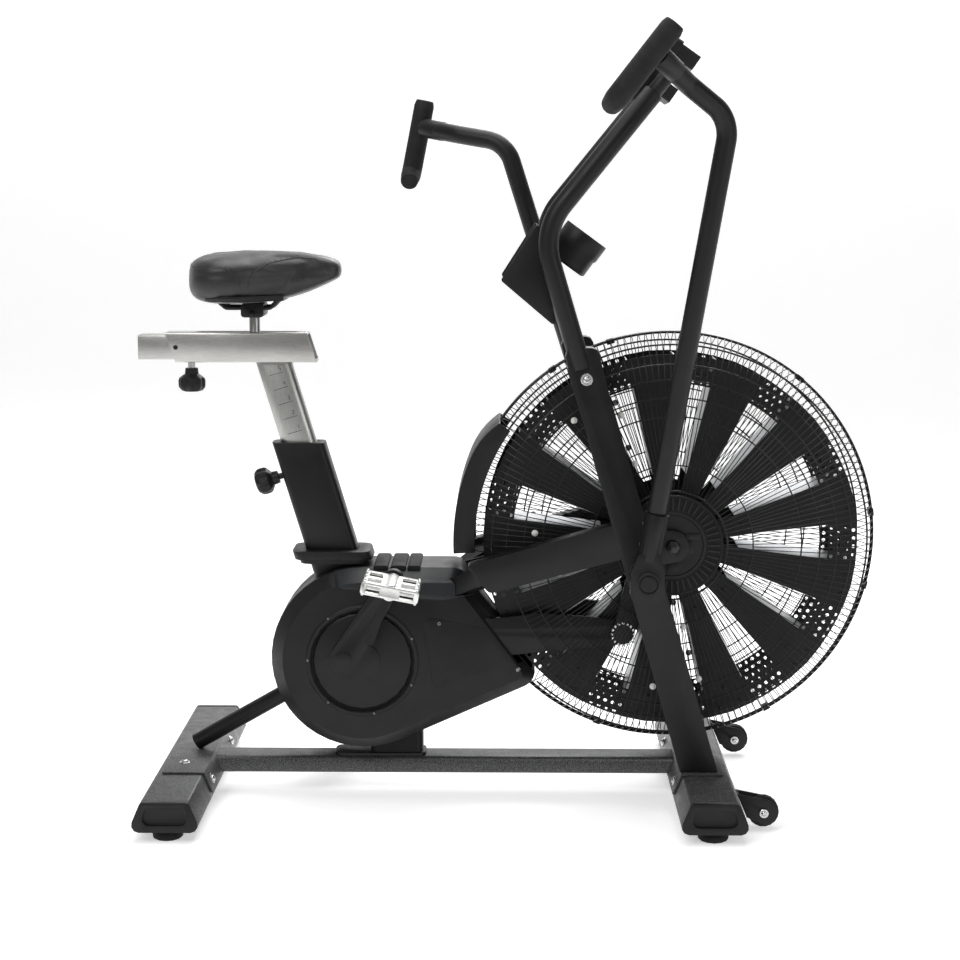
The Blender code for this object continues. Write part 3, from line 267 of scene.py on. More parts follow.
# ---- making pieces -------------------------------------------------------------------------
def settle(obj, body, look, nodes=(), angle=35):
    """Finish, smooth shading, the body it rides on, and the CAD nodes that it stands for."""
    obj.data.materials.clear()
    obj.data.materials.append(LOOKS[look].material)
    obj.data.shade_smooth()
    obj.data.set_sharp_from_angle(angle=math.radians(angle))
    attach(obj, body)
    if nodes:
        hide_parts(*nodes)
    return obj


def object_from(bm, name):
    bmesh.ops.recalc_face_normals(bm, faces=bm.faces[:])
    mesh = bpy.data.meshes.new(name)
    bm.to_mesh(mesh)
    bm.free()
    obj = bpy.data.objects.new(name, mesh)
    bpy.context.scene.collection.objects.link(obj)
    return obj


def bake(obj):
    """Replaces the mesh with what its modifiers make of it."""
    evaluated = obj.evaluated_get(bpy.context.evaluated_depsgraph_get())
    mesh = bpy.data.meshes.new_from_object(evaluated)
    obj.modifiers.clear()
    obj.data = mesh
    return obj


def round_edges(obj, width, segments=2, angle=33):
    bevel = obj.modifiers.new("edges", "BEVEL")
    bevel.width = width
    bevel.segments = segments
    bevel.limit_method = "ANGLE"
    bevel.angle_limit = math.radians(angle)
    return bake(obj)


def rounded(outline, radius, steps=6):
    """Fillets an outline's corners; a list gives each corner its own radius."""
    done = []
    count = len(outline)
    for i, corner in enumerate(outline):
        reach = radius[i] if isinstance(radius, (list, tuple)) else radius
        here = Vector(corner)
        back = (Vector(outline[i - 1]) - here).normalized()
        ahead = (Vector(outline[(i + 1) % count]) - here).normalized()
        turn = back.angle(ahead)
        if reach <= 0 or turn > 3.1:
            done.append(tuple(here))
            continue
        leg = reach / math.tan(turn / 2)
        centre = here + (back + ahead).normalized() * (reach / math.sin(turn / 2))
        first, last = here + back * leg - centre, here + ahead * leg - centre
        for k in range(steps + 1):
            done.append(tuple(centre + first.slerp(last, k / steps).normalized() * reach))
    return done


def smooth_path(corners, radii, steps=12):
    """A path through the corners with each inner one turned into an arc."""
    points = [Vector(corners[0])]
    for i in range(1, len(corners) - 1):
        here = Vector(corners[i])
        back = (Vector(corners[i - 1]) - here).normalized()
        ahead = (Vector(corners[i + 1]) - here).normalized()
        turn = back.angle(ahead)
        leg = radii[i - 1] / math.tan(turn / 2)
        centre = here + (back + ahead).normalized() * (radii[i - 1] / math.sin(turn / 2))
        first, last = here + back * leg - centre, here + ahead * leg - centre
        points += [centre + first.slerp(last, k / steps).normalized() * radii[i - 1]
                   for k in range(steps + 1)]
    return points + [Vector(corners[-1])]


def add_tube(bm, points, radius, sides=20, caps=True, closed=False):
    """Sweeps a circle along points into bm; radius is a number or one number for each point."""
    points = [Vector(p) for p in points]
    count = len(points)
    rings, normal = [], None
    for i, point in enumerate(points):
        before = points[i - 1] if i or closed else point
        after = points[(i + 1) % count] if i < count - 1 or closed else point
        tangent = (after - before).normalized()
        if normal is None:
            normal = tangent.orthogonal().normalized()
        normal = (normal - tangent * normal.dot(tangent)).normalized()
        across = tangent.cross(normal)
        reach = radius[i] if isinstance(radius, (list, tuple)) else radius
        rings.append([bm.verts.new(point + (normal * math.cos(math.tau * k / sides)
                                            + across * math.sin(math.tau * k / sides)) * reach)
                      for k in range(sides)])
    pairs = list(zip(rings, rings[1:])) + ([(rings[-1], rings[0])] if closed else [])
    for a, b in pairs:
        for k in range(sides):
            j = (k + 1) % sides
            bm.faces.new((a[k], a[j], b[j], b[k]))
    if caps and not closed:
        bm.faces.new(rings[0][::-1])
        bm.faces.new(rings[-1])


def add_turned(bm, profile, origin, axis, steps=32, lobes=0, depth=0.0):
    """Revolves (radius, height) pairs about an axis into bm; lobes flute the widest part."""
    axis = Vector(axis).normalized()
    first = axis.orthogonal().normalized()
    second = axis.cross(first)
    widest = max(r for r, _ in profile)
    rings = []
    for r, h in profile:
        centre = Vector(origin) + axis * h
        if r < 1e-6:
            rings.append([bm.verts.new(centre)])
            continue
        ring = []
        for k in range(steps):
            a = math.tau * k / steps
            reach = r - depth * (r / widest) ** 6 * (0.5 - 0.5 * math.cos(a * lobes)) if lobes else r
            ring.append(bm.verts.new(centre + (first * math.cos(a) + second * math.sin(a)) * reach))
        rings.append(ring)
    closed = profile[0][0] > 1e-6 and profile[-1][0] > 1e-6
    pairs = list(zip(rings, rings[1:])) + ([(rings[-1], rings[0])] if closed else [])
    for a, b in pairs:
        for k in range(max(len(a), len(b))):
            j = (k + 1) % steps
            if len(a) == 1:
                bm.faces.new((a[0], b[j], b[k]))
            elif len(b) == 1:
                bm.faces.new((a[k], a[j], b[0]))
            else:
                bm.faces.new((a[k], a[j], b[j], b[k]))


def add_prism(bm, outline, y0, y1):
    """Extrudes an outline in the XZ plane from y0 to y1 into bm."""
    low = [bm.verts.new((x, y0, z)) for x, z in outline]
    high = [bm.verts.new((x, y1, z)) for x, z in outline]
    bm.faces.new(low)
    bm.faces.new(high[::-1])
    for k in range(len(low)):
        j = (k + 1) % len(low)
        bm.faces.new((low[k], low[j], high[j], high[k]))


def add_bolt(bm, seat, axis, size, washer=True, socket=True):
    """A domed screw head on a washer; seat is where the washer meets the part."""
    base = 0.0
    if washer:
        add_turned(bm, [(0, 0), (size * 1.55, 0), (size * 1.55, size * 0.18), (size * 1.45, size * 0.26),
                        (0, size * 0.26)], seat, axis, 24)
        base = size * 0.26
    dome = [(size * math.cos(a), base + size * 0.25 + size * 0.45 * math.sin(a))
            for a in (0.0, 0.35, 0.7, 1.05)]
    hollow = [(size * 0.48, dome[-1][1] + size * 0.02), (size * 0.44, base + size * 0.30),
              (0, base + size * 0.26)]
    tip = hollow if socket else [(0, base + size * 0.72)]
    add_turned(bm, [(0, base), (size, base)] + dome + tip, seat, axis, 24)


def mirrored_y(points):
    return [(p[0], -p[1], p[2]) for p in points]


# ---- the guard -----------------------------------------------------------------------------
def housing_limit(point):
    """True where a guard wire would run inside the casing."""
    x, y, z = point
    if abs(y) > 0.0790:
        return False
    line_top = 0.418 if x < -0.05 else 0.418 - (x + 0.05) * 1.75
    return x < 0.048 and 0.205 < z < line_top


GUARD_PROFILE = [(0.0860, 0.0948), (0.1300, 0.0932), (0.1900, 0.0912), (0.2400, 0.0890), (0.2660, 0.0835),
                 (0.2900, 0.0768), (0.3080, 0.0640), (0.3200, 0.0500), (0.3290, 0.0320), (0.3345, 0.0150),
                 (GUARD_RIM, 0.0045)]


def guard_point(radius, depth, angle, side):
    return Vector((FAN.x + radius * math.cos(angle), side * depth, FAN.z + radius * math.sin(angle)))


def depth_at(radius):
    for (r0, d0), (r1, d1) in zip(GUARD_PROFILE, GUARD_PROFILE[1:]):
        if r0 <= radius <= r1:
            return d0 + (d1 - d0) * (radius - r0) / (r1 - r0)
    return GUARD_PROFILE[-1][1]


def runs_outside(points, closed=False):
    """Splits a wire where it would pass through the casing."""
    runs, run = [], []
    for point in points + ([points[0]] if closed else []):
        if housing_limit(point):
            if len(run) > 1:
                runs.append(run)
            run = []
        else:
            run.append(point)
    if len(run) > 1:
        runs.append(run)
    return runs


def guard(side, name):
    wires = bmesh.new()
    for i in range(GUARD_WIRES):
        angle = math.tau * (i + 0.5) / GUARD_WIRES
        inner = GUARD_PROFILE if i % 2 == 0 else GUARD_PROFILE[1:]
        spoke = [guard_point(r, d, angle, side) for r, d in inner]
        for run in runs_outside(spoke):
            add_tube(wires, run, 0.00078, 6)
    for radius, thick in ((0.0885, 0.0016), (0.1300, 0.0011), (0.2080, 0.0012), (0.2380, 0.0012),
                          (0.2660, 0.0012),
                          (0.2900, 0.0014), (0.3200, 0.0016), (GUARD_RIM, 0.0022)):
        depth = depth_at(radius) - (0.0012 if radius < 0.3 else 0.0)
        hoop = [guard_point(radius, depth, math.tau * k / 144, side) for k in range(144)]
        if any(housing_limit(p) for p in hoop):
            start = next(k for k in range(144) if housing_limit(hoop[k]))
            for run in runs_outside(hoop[start:] + hoop[:start]):
                add_tube(wires, run, thick, 8)
        else:
            add_tube(wires, hoop, thick, 8, closed=True)
    settle(object_from(wires, f"{name}_wire_guard"), "frame", "wire", [f"{name}_fan_cage"])


def guard_clips():
    """Clips that hold the guard's two bowls together at the rim."""
    bm = bmesh.new()
    for degrees in (7, 51, 107, 125, 250, 300, 346):
        a = math.radians(degrees)
        out = Vector((math.cos(a), 0, math.sin(a)))
        along = Vector((-out.z, 0, out.x))
        middle = FAN + out * GUARD_RIM
        corners = [middle + out * r + along * t for r,
                   t in ((-0.0050, -0.0065), (0.0030, -0.0065), (0.0030, 0.0065),
                                                            (-0.0050, 0.0065))]
        add_prism(bm, [(c.x, c.z) for c in corners], -0.0100, 0.0100)
    settle(round_edges(object_from(bm, "guard_clips"), 0.0012), "frame", "black_plastic")


# ---- the fan -------------------------------------------------------------------------------
BLADES = 13
BLADE_HALF = math.radians(7.4)
FIRST = math.radians(13.5)


def fan():
    """Blades with folded sides, a perforated rim between them, and rivets."""
    low, high = -0.0515, 0.0355
    dark, light, rim, rivets = bmesh.new(), bmesh.new(), bmesh.new(), bmesh.new()
    for i in range(BLADES):
        middle = FIRST + math.tau * i / BLADES

        def at(radius, offset, y):
            a = middle + offset
            return Vector((FAN.x + radius * math.cos(a), y, FAN.z + radius * math.sin(a)))

        for y0, y1 in ((low, low + 0.0016), (high - 0.0016, high)):
            outline = [(0.060, -math.pi / BLADES), (0.100, -BLADE_HALF * 1.25), (0.150, -BLADE_HALF * 1.05),
                       (0.3045, -BLADE_HALF), (0.3050, 0.0), (0.3045, BLADE_HALF), (0.150,
                                                                                    BLADE_HALF * 1.05),
                       (0.100, BLADE_HALF * 1.25), (0.060, math.pi / BLADES)]
            points = [at(r, o, 0) for r, o in outline]
            add_prism(dark, [(p.x, p.z) for p in points] + [(FAN.x, FAN.z)], y0, y1)
            for r, o in ((0.292, -0.055), (0.292, 0.055), (0.262, 0.0), (0.120, 0.0)):
                sign = -1 if y0 < 0 else 1
                seat = at(r, o, y0 if sign < 0 else y1)
                add_turned(rivets, [(0, 0), (0.0036, 0), (0.0030, 0.0011), (0.0014, 0.0017), (0, 0.0018)],
                           seat,
                           (0, sign, 0), 12)
        for turn in (-1, 1):
            wall = [(0.112, turn * (BLADE_HALF * 1.18)), (0.302, turn * (BLADE_HALF + 0.0015)),
                    (0.302, turn * (BLADE_HALF - 0.0035)), (0.112, turn * (BLADE_HALF * 1.18 - 0.010))]
            points = [at(r, o, 0) for r, o in wall]
            add_prism(light, [(p.x, p.z) for p in points], low + 0.0018, high - 0.0018)
    add_turned(dark, [(0, low - 0.0055), (0.026, low - 0.0055), (0.028, low - 0.0040),
                      (0.028, high + 0.0040),
                      (0.026, high + 0.0048), (0, high + 0.0048)], FAN, (0, 1, 0), 40)
    gap_start, gap_end = BLADE_HALF, math.tau / BLADES - BLADE_HALF
    columns, rows = 5, 4
    for i in range(BLADES):
        base = FIRST + math.tau * i / BLADES + gap_start
        width = (gap_end - gap_start) / columns
        for y in (low + 0.0004, high - 0.0020):
            for row in range(rows):
                r0 = 0.2572 + row * 0.01165
                for column in range(columns):
                    shift = 0.5 * (row % 2)
                    if shift and column == columns - 1:
                        continue
                    perforate(rim, r0, r0 + 0.01165, base + (column + shift) * width, width, y, 0.0016)
                if row % 2:
                    for a, w in ((base, width / 2), (base + (columns - 0.5) * width, width / 2)):
                        plain_cell(rim, r0, r0 + 0.01165, a, w, y, 0.0016)
    bmesh.ops.remove_doubles(rim, verts=rim.verts[:], dist=1e-6)
    settle(object_from(dark, "fan_blades"), "fan", "fan_paint", ["fan_wheel"])
    settle(object_from(light, "fan_blade_sides"), "fan", "flange_metal")
    settle(object_from(rim, "fan_perforated_rim"), "fan", "fan_paint")
    settle(object_from(rivets, "fan_rivets"), "fan", "fan_paint")


def polar(radius, angle, y):
    return Vector((FAN.x + radius * math.cos(angle), y, FAN.z + radius * math.sin(angle)))


def plain_cell(bm, r0, r1, start, width, y, thick):
    for level in (y, y + thick):
        corners = [(r0, start), (r1, start), (r1, start + width), (r0, start + width)]
        bm.faces.new([bm.verts.new(polar(r, a, level)) for r, a in corners])


def perforate(bm, r0, r1, start, width, y, thick):
    """One cell of sheet with a round hole through it."""
    middle_r, middle_a = (r0 + r1) / 2, start + width / 2
    hole = 0.0031
    ring = []
    for level in (y, y + thick):
        edge, inner = [], []
        for k in range(8):
            a = math.tau * k / 8
            cx, cz = math.cos(a), math.sin(a)
            inner.append(bm.verts.new(polar(middle_r + hole * cx, middle_a + hole * cz / middle_r, level)))
            reach = max(abs(cx), abs(cz))
            edge.append(bm.verts.new(polar(middle_r + (r1 - r0) / 2 * cx / reach,
                                           middle_a + width / 2 * cz / reach, level)))
        for k in range(8):
            j = (k + 1) % 8
            bm.faces.new((edge[k], edge[j], inner[j], inner[k]))
        ring.append(inner)
    for k in range(8):
        j = (k + 1) % 8
        bm.faces.new((ring[0][k], ring[0][j], ring[1][j], ring[1][k]))


# ---- hub covers ----------------------------------------------------------------------------
def hub_cover(side, name):
    bm = bmesh.new()
    add_turned(bm, [(0.0090, 0.0932), (0.0822, 0.0932), (0.0822, 0.0950), (0.0810, 0.0962),
                    (0.0790, 0.0962),
                    (0.0782, 0.0952), (0.0560, 0.0952), (0.0550, 0.0966), (0.0500, 0.0966), (0.0490,
                                                                                             0.0950),
                    (0.0090, 0.0950)], FAN, (0, side, 0), 72)
    outer = object_from(bm, f"{name}_hub_disc")
    settle(outer, "frame", "black_plastic", [f"{name}_hub_cover"], angle=25)
    ribs = bmesh.new()
    for i in range(44):
        a = math.tau * i / 44
        if 2.65 < a < 4.35 and side < 0:
            continue
        corners = [polar(r, a + t / r, 0) for r,
                   t in ((0.0575, -0.0013), (0.0772, -0.0013), (0.0772, 0.0013),
                                                       (0.0575, 0.0013))]
        add_prism(ribs, [(c.x, c.z) for c in corners], side * 0.0951, side * 0.0966)
    settle(object_from(ribs, f"{name}_hub_ribs"), "frame", "slate_plastic")
    # Painted shade: a near-black sheet on the recessed floor between the ribs stands for the dark inside of
    # the slots.
    slot_shade_sheet = bmesh.new()
    add_turned(slot_shade_sheet, [(0.0570, 0.0951), (0.0775, 0.0951), (0.0775, 0.0954), (0.0570, 0.0954)], FAN,
               (0, side, 0), 72)
    settle(object_from(slot_shade_sheet, f"{name}_hub_slot_shade"), "frame", "painted_shade_black")
    clip = bmesh.new()
    for outline in ([(0.014, 0.010), (0.044, 0.010), (0.044, 0.020), (0.014, 0.020)],
                    [(0.024, -0.014), (0.034, -0.014), (0.034, 0.010), (0.024, 0.010)],
                    [(-0.036, -0.008), (-0.012, -0.008), (-0.012, 0.004), (-0.036, 0.004)],
                    [(-0.008, -0.042), (0.010, -0.042), (0.010, -0.028), (-0.008, -0.028)]):
        add_prism(clip, [(FAN.x + x, FAN.z + z) for x, z in rounded(outline, 0.002, 3)], side * 0.0950,
                  side * 0.0968)
    settle(round_edges(object_from(clip, f"{name}_hub_latches"), 0.0004), "frame", "black_plastic")


# ---- tubes ---------------------------------------------------------------------------------
def swung(obj, angle):
    obj.data.transform(Matrix.Translation(PIVOT) @ Matrix.Rotation(angle, 4,
                                                                   "Y") @ Matrix.Translation(-PIVOT))
    return obj


def masts():
    for side, name in SIDES:
        path = smooth_path([(0.1155, side * MAST_Y, 0.7220), (0.0513, side * MAST_Y, 0.9373),
                            (0.2240, side * 0.110, 1.1505)], [0.10], 24)
        bm = bmesh.new()
        add_tube(bm, path, 0.0160, 36)
        settle(round_edges(object_from(bm, f"{name}_mast"), 0.0008), "frame", "black_paint",
               [f"{name}_mast_tube"])


def levers():
    path = smooth_path([(0.2203, -0.1854, 0.4370), (0.3305, -0.2200, 1.1060), (0.2640, -0.2520, 1.1560),
                        (0.2150, -0.3165, 1.1950)], [0.055, 0.035], 18)
    grip = smooth_path([(0.2372, -0.3350, 1.2382), (0.1582, -0.3350, 1.1371), (0.1480, -0.3020, 1.1240)],
                       [0.020], 14)
    grip[1:1] = [grip[0].lerp(grip[1], k / 12) for k in range(1, 12)]
    travelled = [0.0]
    for a, b in zip(grip, grip[1:]):
        travelled.append(travelled[-1] + (b - a).length)
    edges = [min(at, travelled[-1] - at) for at in travelled]
    radii = [0.0175 if edge > 0.006 else 0.0150 + 0.0025 * math.sqrt(edge / 0.006) for edge in edges]
    for side, name in SIDES:
        body = f"{name}_lever"
        turn = -SWING if side > 0 else 0.0

        def put(points):
            return mirrored_y(points) if side > 0 else points

        bm = bmesh.new()
        add_tube(bm, put(path), 0.0155, 36)
        settle(swung(round_edges(object_from(bm, f"{name}_lever_bar"), 0.0006), turn), body, "black_paint",
               [f"{name}_lever_tube"])
        bm = bmesh.new()
        add_tube(bm, put(grip), radii, 36)
        settle(swung(round_edges(object_from(bm, f"{name}_foam_grip"), 0.002, 3), turn), body, "foam",
               [f"{name}_lever_grip"])
        bm = bmesh.new()
        add_tube(bm, put([path[-19].lerp(path[-1], 0.50), path[-1]]), 0.0166, 36)
        settle(swung(round_edges(object_from(bm, f"{name}_lever_sleeve"), 0.0005), turn), body,
               "black_plastic")
        bm = bmesh.new()
        add_turned(bm, [(0, 0), (0.0186, 0), (0.0186, 0.0024), (0.0176, 0.0034), (0.0152, 0.0034),
                        (0.0146, 0.0010),
                        (0.0128, 0.0010), (0.0122, 0.0028), (0.0102, 0.0038), (0, 0.0038)],
                   (PIVOT.x, side * 0.2031, PIVOT.z), (0, side, 0), 40)
        settle(object_from(bm, f"{name}_pivot_cap"), body, "black_plastic", angle=25)
        bm = bmesh.new()
        for z in (0.455, 0.487):
            add_bolt(bm, put([(0.2035 + (z - 0.433) * 0.17, -0.187, z)])[0], (-1, 0, 0.15), 0.0034)
        settle(swung(object_from(bm, f"{name}_clamp_screws"), turn), body, "chrome")


# ---- knobs, bolts and trim -----------------------------------------------------------------
def knob(node, body, tip, axis, stem):
    profile = [(0, 0.0), (0.0050, 0.0), (0.0050, stem), (0.0103, stem + 0.0006), (0.0113, stem + 0.010),
               (0.0150, stem + 0.0125), (0.0205, stem + 0.0165), (0.0222, stem + 0.0205), (0.0223,
                                                                                           stem + 0.0290),
               (0.0212, stem + 0.0330), (0.0170, stem + 0.0375), (0.0120, stem + 0.0390), (0,
                                                                                           stem + 0.0393)]
    bm = bmesh.new()
    add_turned(bm, profile, tip, axis, 96, lobes=8, depth=0.0030)
    settle(object_from(bm, node + "_fluted"), body, "black_plastic", [node], angle=30)


def knobs():
    knob("slider_lock_knob", "slider_knob", (-0.519, 0, 0.7261), (0, 0, -1), 0.014)
    bm = bmesh.new()
    add_tube(bm, [(-0.519, 0, 0.7256), (-0.519, 0, 0.7108)], 0.0060, 24)
    settle(object_from(bm, "slider_knob_stem"), "slider_knob", "chrome")
    lean = math.atan(SEAT_LEAN)
    height = 0.5460
    middle = Vector((CRANK.x - SEAT_LEAN * (height - CRANK.z), 0, height))
    direction = Vector((-math.cos(lean), 0, -math.sin(lean)))
    knob("seat_post_lock_knob", "post_knob", middle + direction * 0.0291, direction, 0.0205)


def fasteners():
    """Screws and bolts on the frame: bright zinc, and white-headed guard screws."""
    zinc, white, black = bmesh.new(), bmesh.new(), bmesh.new()
    for side in (-1, 1):
        add_bolt(zinc, (0.123, side * 0.1300, 0.706), (0, side, 0), 0.0062)
        for x, z in ((0.105, 0.636), (0.180, 0.645), (0.203, 0.568), (0.043, 0.454), (0.082, 0.389),
                     (0.283, 0.301), (0.310, 0.214), (0.236, 0.201)):
            radius = math.hypot(x - FAN.x, z - FAN.z)
            add_bolt(white, (x, side * (depth_at(radius) + 0.0004), z), (0, side, 0), 0.0034, socket=False)
        for foot_x, facing in ((-0.531, 1), (0.3204, -1)):
            add_bolt(zinc, (foot_x, side * 0.085, 0.0686), (0, 0, 1), 0.0056)
            add_bolt(zinc, (foot_x + facing * 0.0483, side * 0.112, 0.0500), (facing, 0, 0.42), 0.0056)
        for x, z in ((-0.010, 0.372), (-0.112, 0.301), (0.016, 0.224)):
            add_bolt(black, (x, side * 0.0740, z), (0, side, 0), 0.0030)
        for k in range(7):
            a = math.radians(25 + 360 * k / 7)
            add_bolt(black, (CRANK.x + 0.0895 * math.cos(a), side * 0.0767, CRANK.z + 0.0895 * math.sin(a)),
                     (0, side, 0), 0.0019, washer=False)
        add_bolt(zinc, (0.4035, side * (0.2065 + 0.0165), 0.0306), (0, side, 0), 0.0046)
        add_bolt(zinc, (0.4035, side * (0.2065 - 0.0165), 0.0306), (0, -side, 0), 0.0046)
    settle(object_from(zinc, "frame_bolts"), "frame", "chrome")
    settle(object_from(white, "guard_screws"), "frame", "white")
    settle(object_from(black, "casing_screws"), "frame", "steel")


def casing_trim():
    """Rubber top pads, a raised side panel and a parting seam on the casing."""
    pads = bmesh.new()
    for low, high in ((-0.2200, -0.1960), (-0.1920, -0.1665), (-0.1645, -0.1430)):
        outline = [(low, 0.3860), (high, 0.3860), (high, 0.3915), (high - 0.003, 0.3935),
                   (low + 0.003, 0.3935),
                   (low, 0.3915)]
        add_prism(pads, outline, -0.0560, 0.0560)
    settle(round_edges(object_from(pads, "casing_top_pads"), 0.0012), "frame", "rubber")
    for side, name in SIDES:
        bm = bmesh.new()
        corners = [(-0.140, 0.314), (-0.058, 0.298), (-0.034, 0.292), (0.000, 0.246), (-0.010, 0.236),
                   (-0.078, 0.206),
                   (-0.122, 0.190)]
        add_prism(bm, rounded(corners, [0.012, 0.03, 0.012, 0.006, 0.012, 0.03, 0.006], 4),
                  side * 0.0748, side * 0.0758)
        settle(round_edges(object_from(bm, f"{name}_casing_panel"), 0.0004), "frame", "panel")
        bm = bmesh.new()
        groove = [(-0.2854, 0.3840), (-0.2797, 0.3625), (-0.266, 0.3565), (-0.2456, 0.357),
                  (-0.1343, 0.3409),
                  (-0.1061, 0.3394), (-0.0560, 0.3508)]
        add_tube(bm, [(x, side * 0.0746, z) for x, z in groove], 0.0009, 8)
        settle(object_from(bm, f"{name}_casing_seam"), "frame", "panel")


def crank_trim():
    """A near-black ring of painted shade in the gap behind each crank disc, and a recessed panel along each
    crank arm.
    """
    for side, name in SIDES:
        # Painted shade: a near-black ring in the gap between the crank disc and the casing.
        bm = bmesh.new()
        add_turned(bm, [(0.0806, 0.0700), (0.0860, 0.0700), (0.0860, 0.0714), (0.0806, 0.0714)], CRANK,
                   (0, side, 0), 96)
        settle(object_from(bm, f"{name}_crank_gap_shade"), "frame", "painted_shade_black")
        out = Vector((math.cos(CRANK_PHASES[name]), 0, math.sin(CRANK_PHASES[name])))
        across = Vector((-out.z, 0, out.x))
        corners = [CRANK + out * r + across * t for r,
                   t in ((0.034, -0.0072), (0.116, -0.0056), (0.116, 0.0056),
                                                             (0.034, 0.0072))]
        bm = bmesh.new()
        add_prism(bm, rounded([(c.x, c.z) for c in corners], 0.004, 4), side * 0.0940, side * 0.0948)
        settle(object_from(bm, f"{name}_arm_panel"), "crank", "panel")


SEGMENTS = {1: "bc", 2: "abged", 3: "abgcd", 4: "fgbc", 5: "afgcd"}
STROKES = {"a": (-1, 2, 1, 2), "b": (1, 2, 1, 0), "c": (1, 0, 1, -2), "d": (-1, -2, 1, -2),
           "e": (-1, 0, -1, -2),
           "f": (-1, 2, -1, 0), "g": (-1, 0, 1, 0)}


def seat_marks():
    """Numbered height marks on the post, and a plug in each side of the slider."""
    bm = bmesh.new()
    along = Vector((-0.28866, 0, 0.95742))
    across = Vector((0.95742, 0, 0.28866))
    foot = Vector((CRANK.x - SEAT_LEAN * (0.600 - CRANK.z), 0, 0.600))
    for side in (-1, 1):
        def stroke(middle, s0, t0, s1, t1):
            ends = [middle + across * s0 + along * t0, middle + across * s1 + along * t1]
            wide = (ends[1] - ends[0]).normalized().cross(Vector((0, 1, 0))) * 0.00045
            corners = [ends[0] - wide, ends[1] - wide, ends[1] + wide, ends[0] + wide]
            add_prism(bm, [(c.x, c.z) for c in corners], side * 0.01495, side * 0.01512)

        for k in range(5):
            middle = foot + along * (0.008 + 0.025 * k)
            stroke(middle, -0.0120, 0, 0.0120, 0)
            for name in SEGMENTS[k + 1]:
                s0, t0, s1, t1 = STROKES[name]
                centre = 0.0075 * -side
                stroke(middle + along * 0.0070, centre + s0 * 0.0013 * -side, t0 * 0.0016,
                       centre + s1 * 0.0013 * -side, t1 * 0.0016)
    settle(object_from(bm, "seat_post_marks"), "seat_post_sliding", "ink")
    bm = bmesh.new()
    for side in (-1, 1):
        add_turned(bm, [(0, 0), (0.0040, 0), (0.0036, 0.0005), (0, 0.0005)], (-0.541, side * 0.0234, 0.747),
                   (0, side, 0), 24)
    settle(object_from(bm, "sleeve_plugs"), "seat_post_sliding", "black_plastic")


def rod_bearings():
    """Bright dashed ring on each rocker's outer face, round the connecting rod's pin."""
    for side, name in SIDES:
        pin = PIN.copy()
        if side > 0:
            pin = PIVOT + Matrix.Rotation(-SWING, 3, "Y") @ (PIN - PIVOT)
        bm = bmesh.new()
        for k in range(16):
            a = math.tau * k / 16
            outline = [(pin.x + r * math.cos(a + t), pin.z + r * math.sin(a + t))
                       for r, t in ((0.0163, -0.10), (0.0195, -0.10), (0.0195, 0.10), (0.0163, 0.10))]
            add_prism(bm, outline, side * 0.0803, side * 0.0811)
        settle(object_from(bm, f"{name}_rod_bearing"), f"{name}_lever", "chrome")


def pedal_pins():
    for side, name in SIDES:
        a = CRANK_PHASES[name]
        spindle = Vector((CRANK.x + CRANK_THROW * math.cos(a), 0, CRANK.z + CRANK_THROW * math.sin(a)))
        tilt = Matrix.Rotation(math.radians(11), 3, "Y")
        bm = bmesh.new()
        for x in (-0.042, 0.042):
            for y in (0.106, 0.1215, 0.1500, 0.1795, 0.195):
                for up in (-1, 1):
                    seat = spindle + tilt @ Vector((x, 0, up * 0.0098)) + Vector((0, side * y, 0))
                    add_turned(bm, [(0, 0), (0.0021, 0), (0.0021, 0.0022), (0.0012, 0.0028), (0, 0.0028)],
                               seat,
                               tilt @ Vector((0, 0, up)), 12)
        for y in (0.1335, 0.1765):
            for x in (-0.027, 0.027):
                seat = spindle + tilt @ Vector((x, 0, 0)) + Vector((0, side * y, 0))
                add_tube(bm, [seat + tilt @ Vector((-0.016, 0, 0)), seat + tilt @ Vector((0.016, 0, 0))],
                         0.0022, 12)
        settle(object_from(bm, f"{name}_pedal_pins"), f"{name}_pedal_turning", "pedal_metal")


def console_keys():
    along = Vector((0.573, 0, 0.819)).normalized()
    face = Vector((-along.z, 0, along.x))
    centre = Vector((0.2279, 0, 1.1885))
    bm = bmesh.new()
    for v in (-0.054, -0.027, 0.0, 0.027, 0.054):
        seat = centre - along * 0.0510 + face * 0.0138 + Vector((0, v, 0))
        add_turned(bm, [(0, 0), (0.0058, 0), (0.0058, 0.0010), (0.0048, 0.0018), (0, 0.0020)], seat, face,
                   24)
    settle(object_from(bm, "console_keys"), "frame", "rubber")


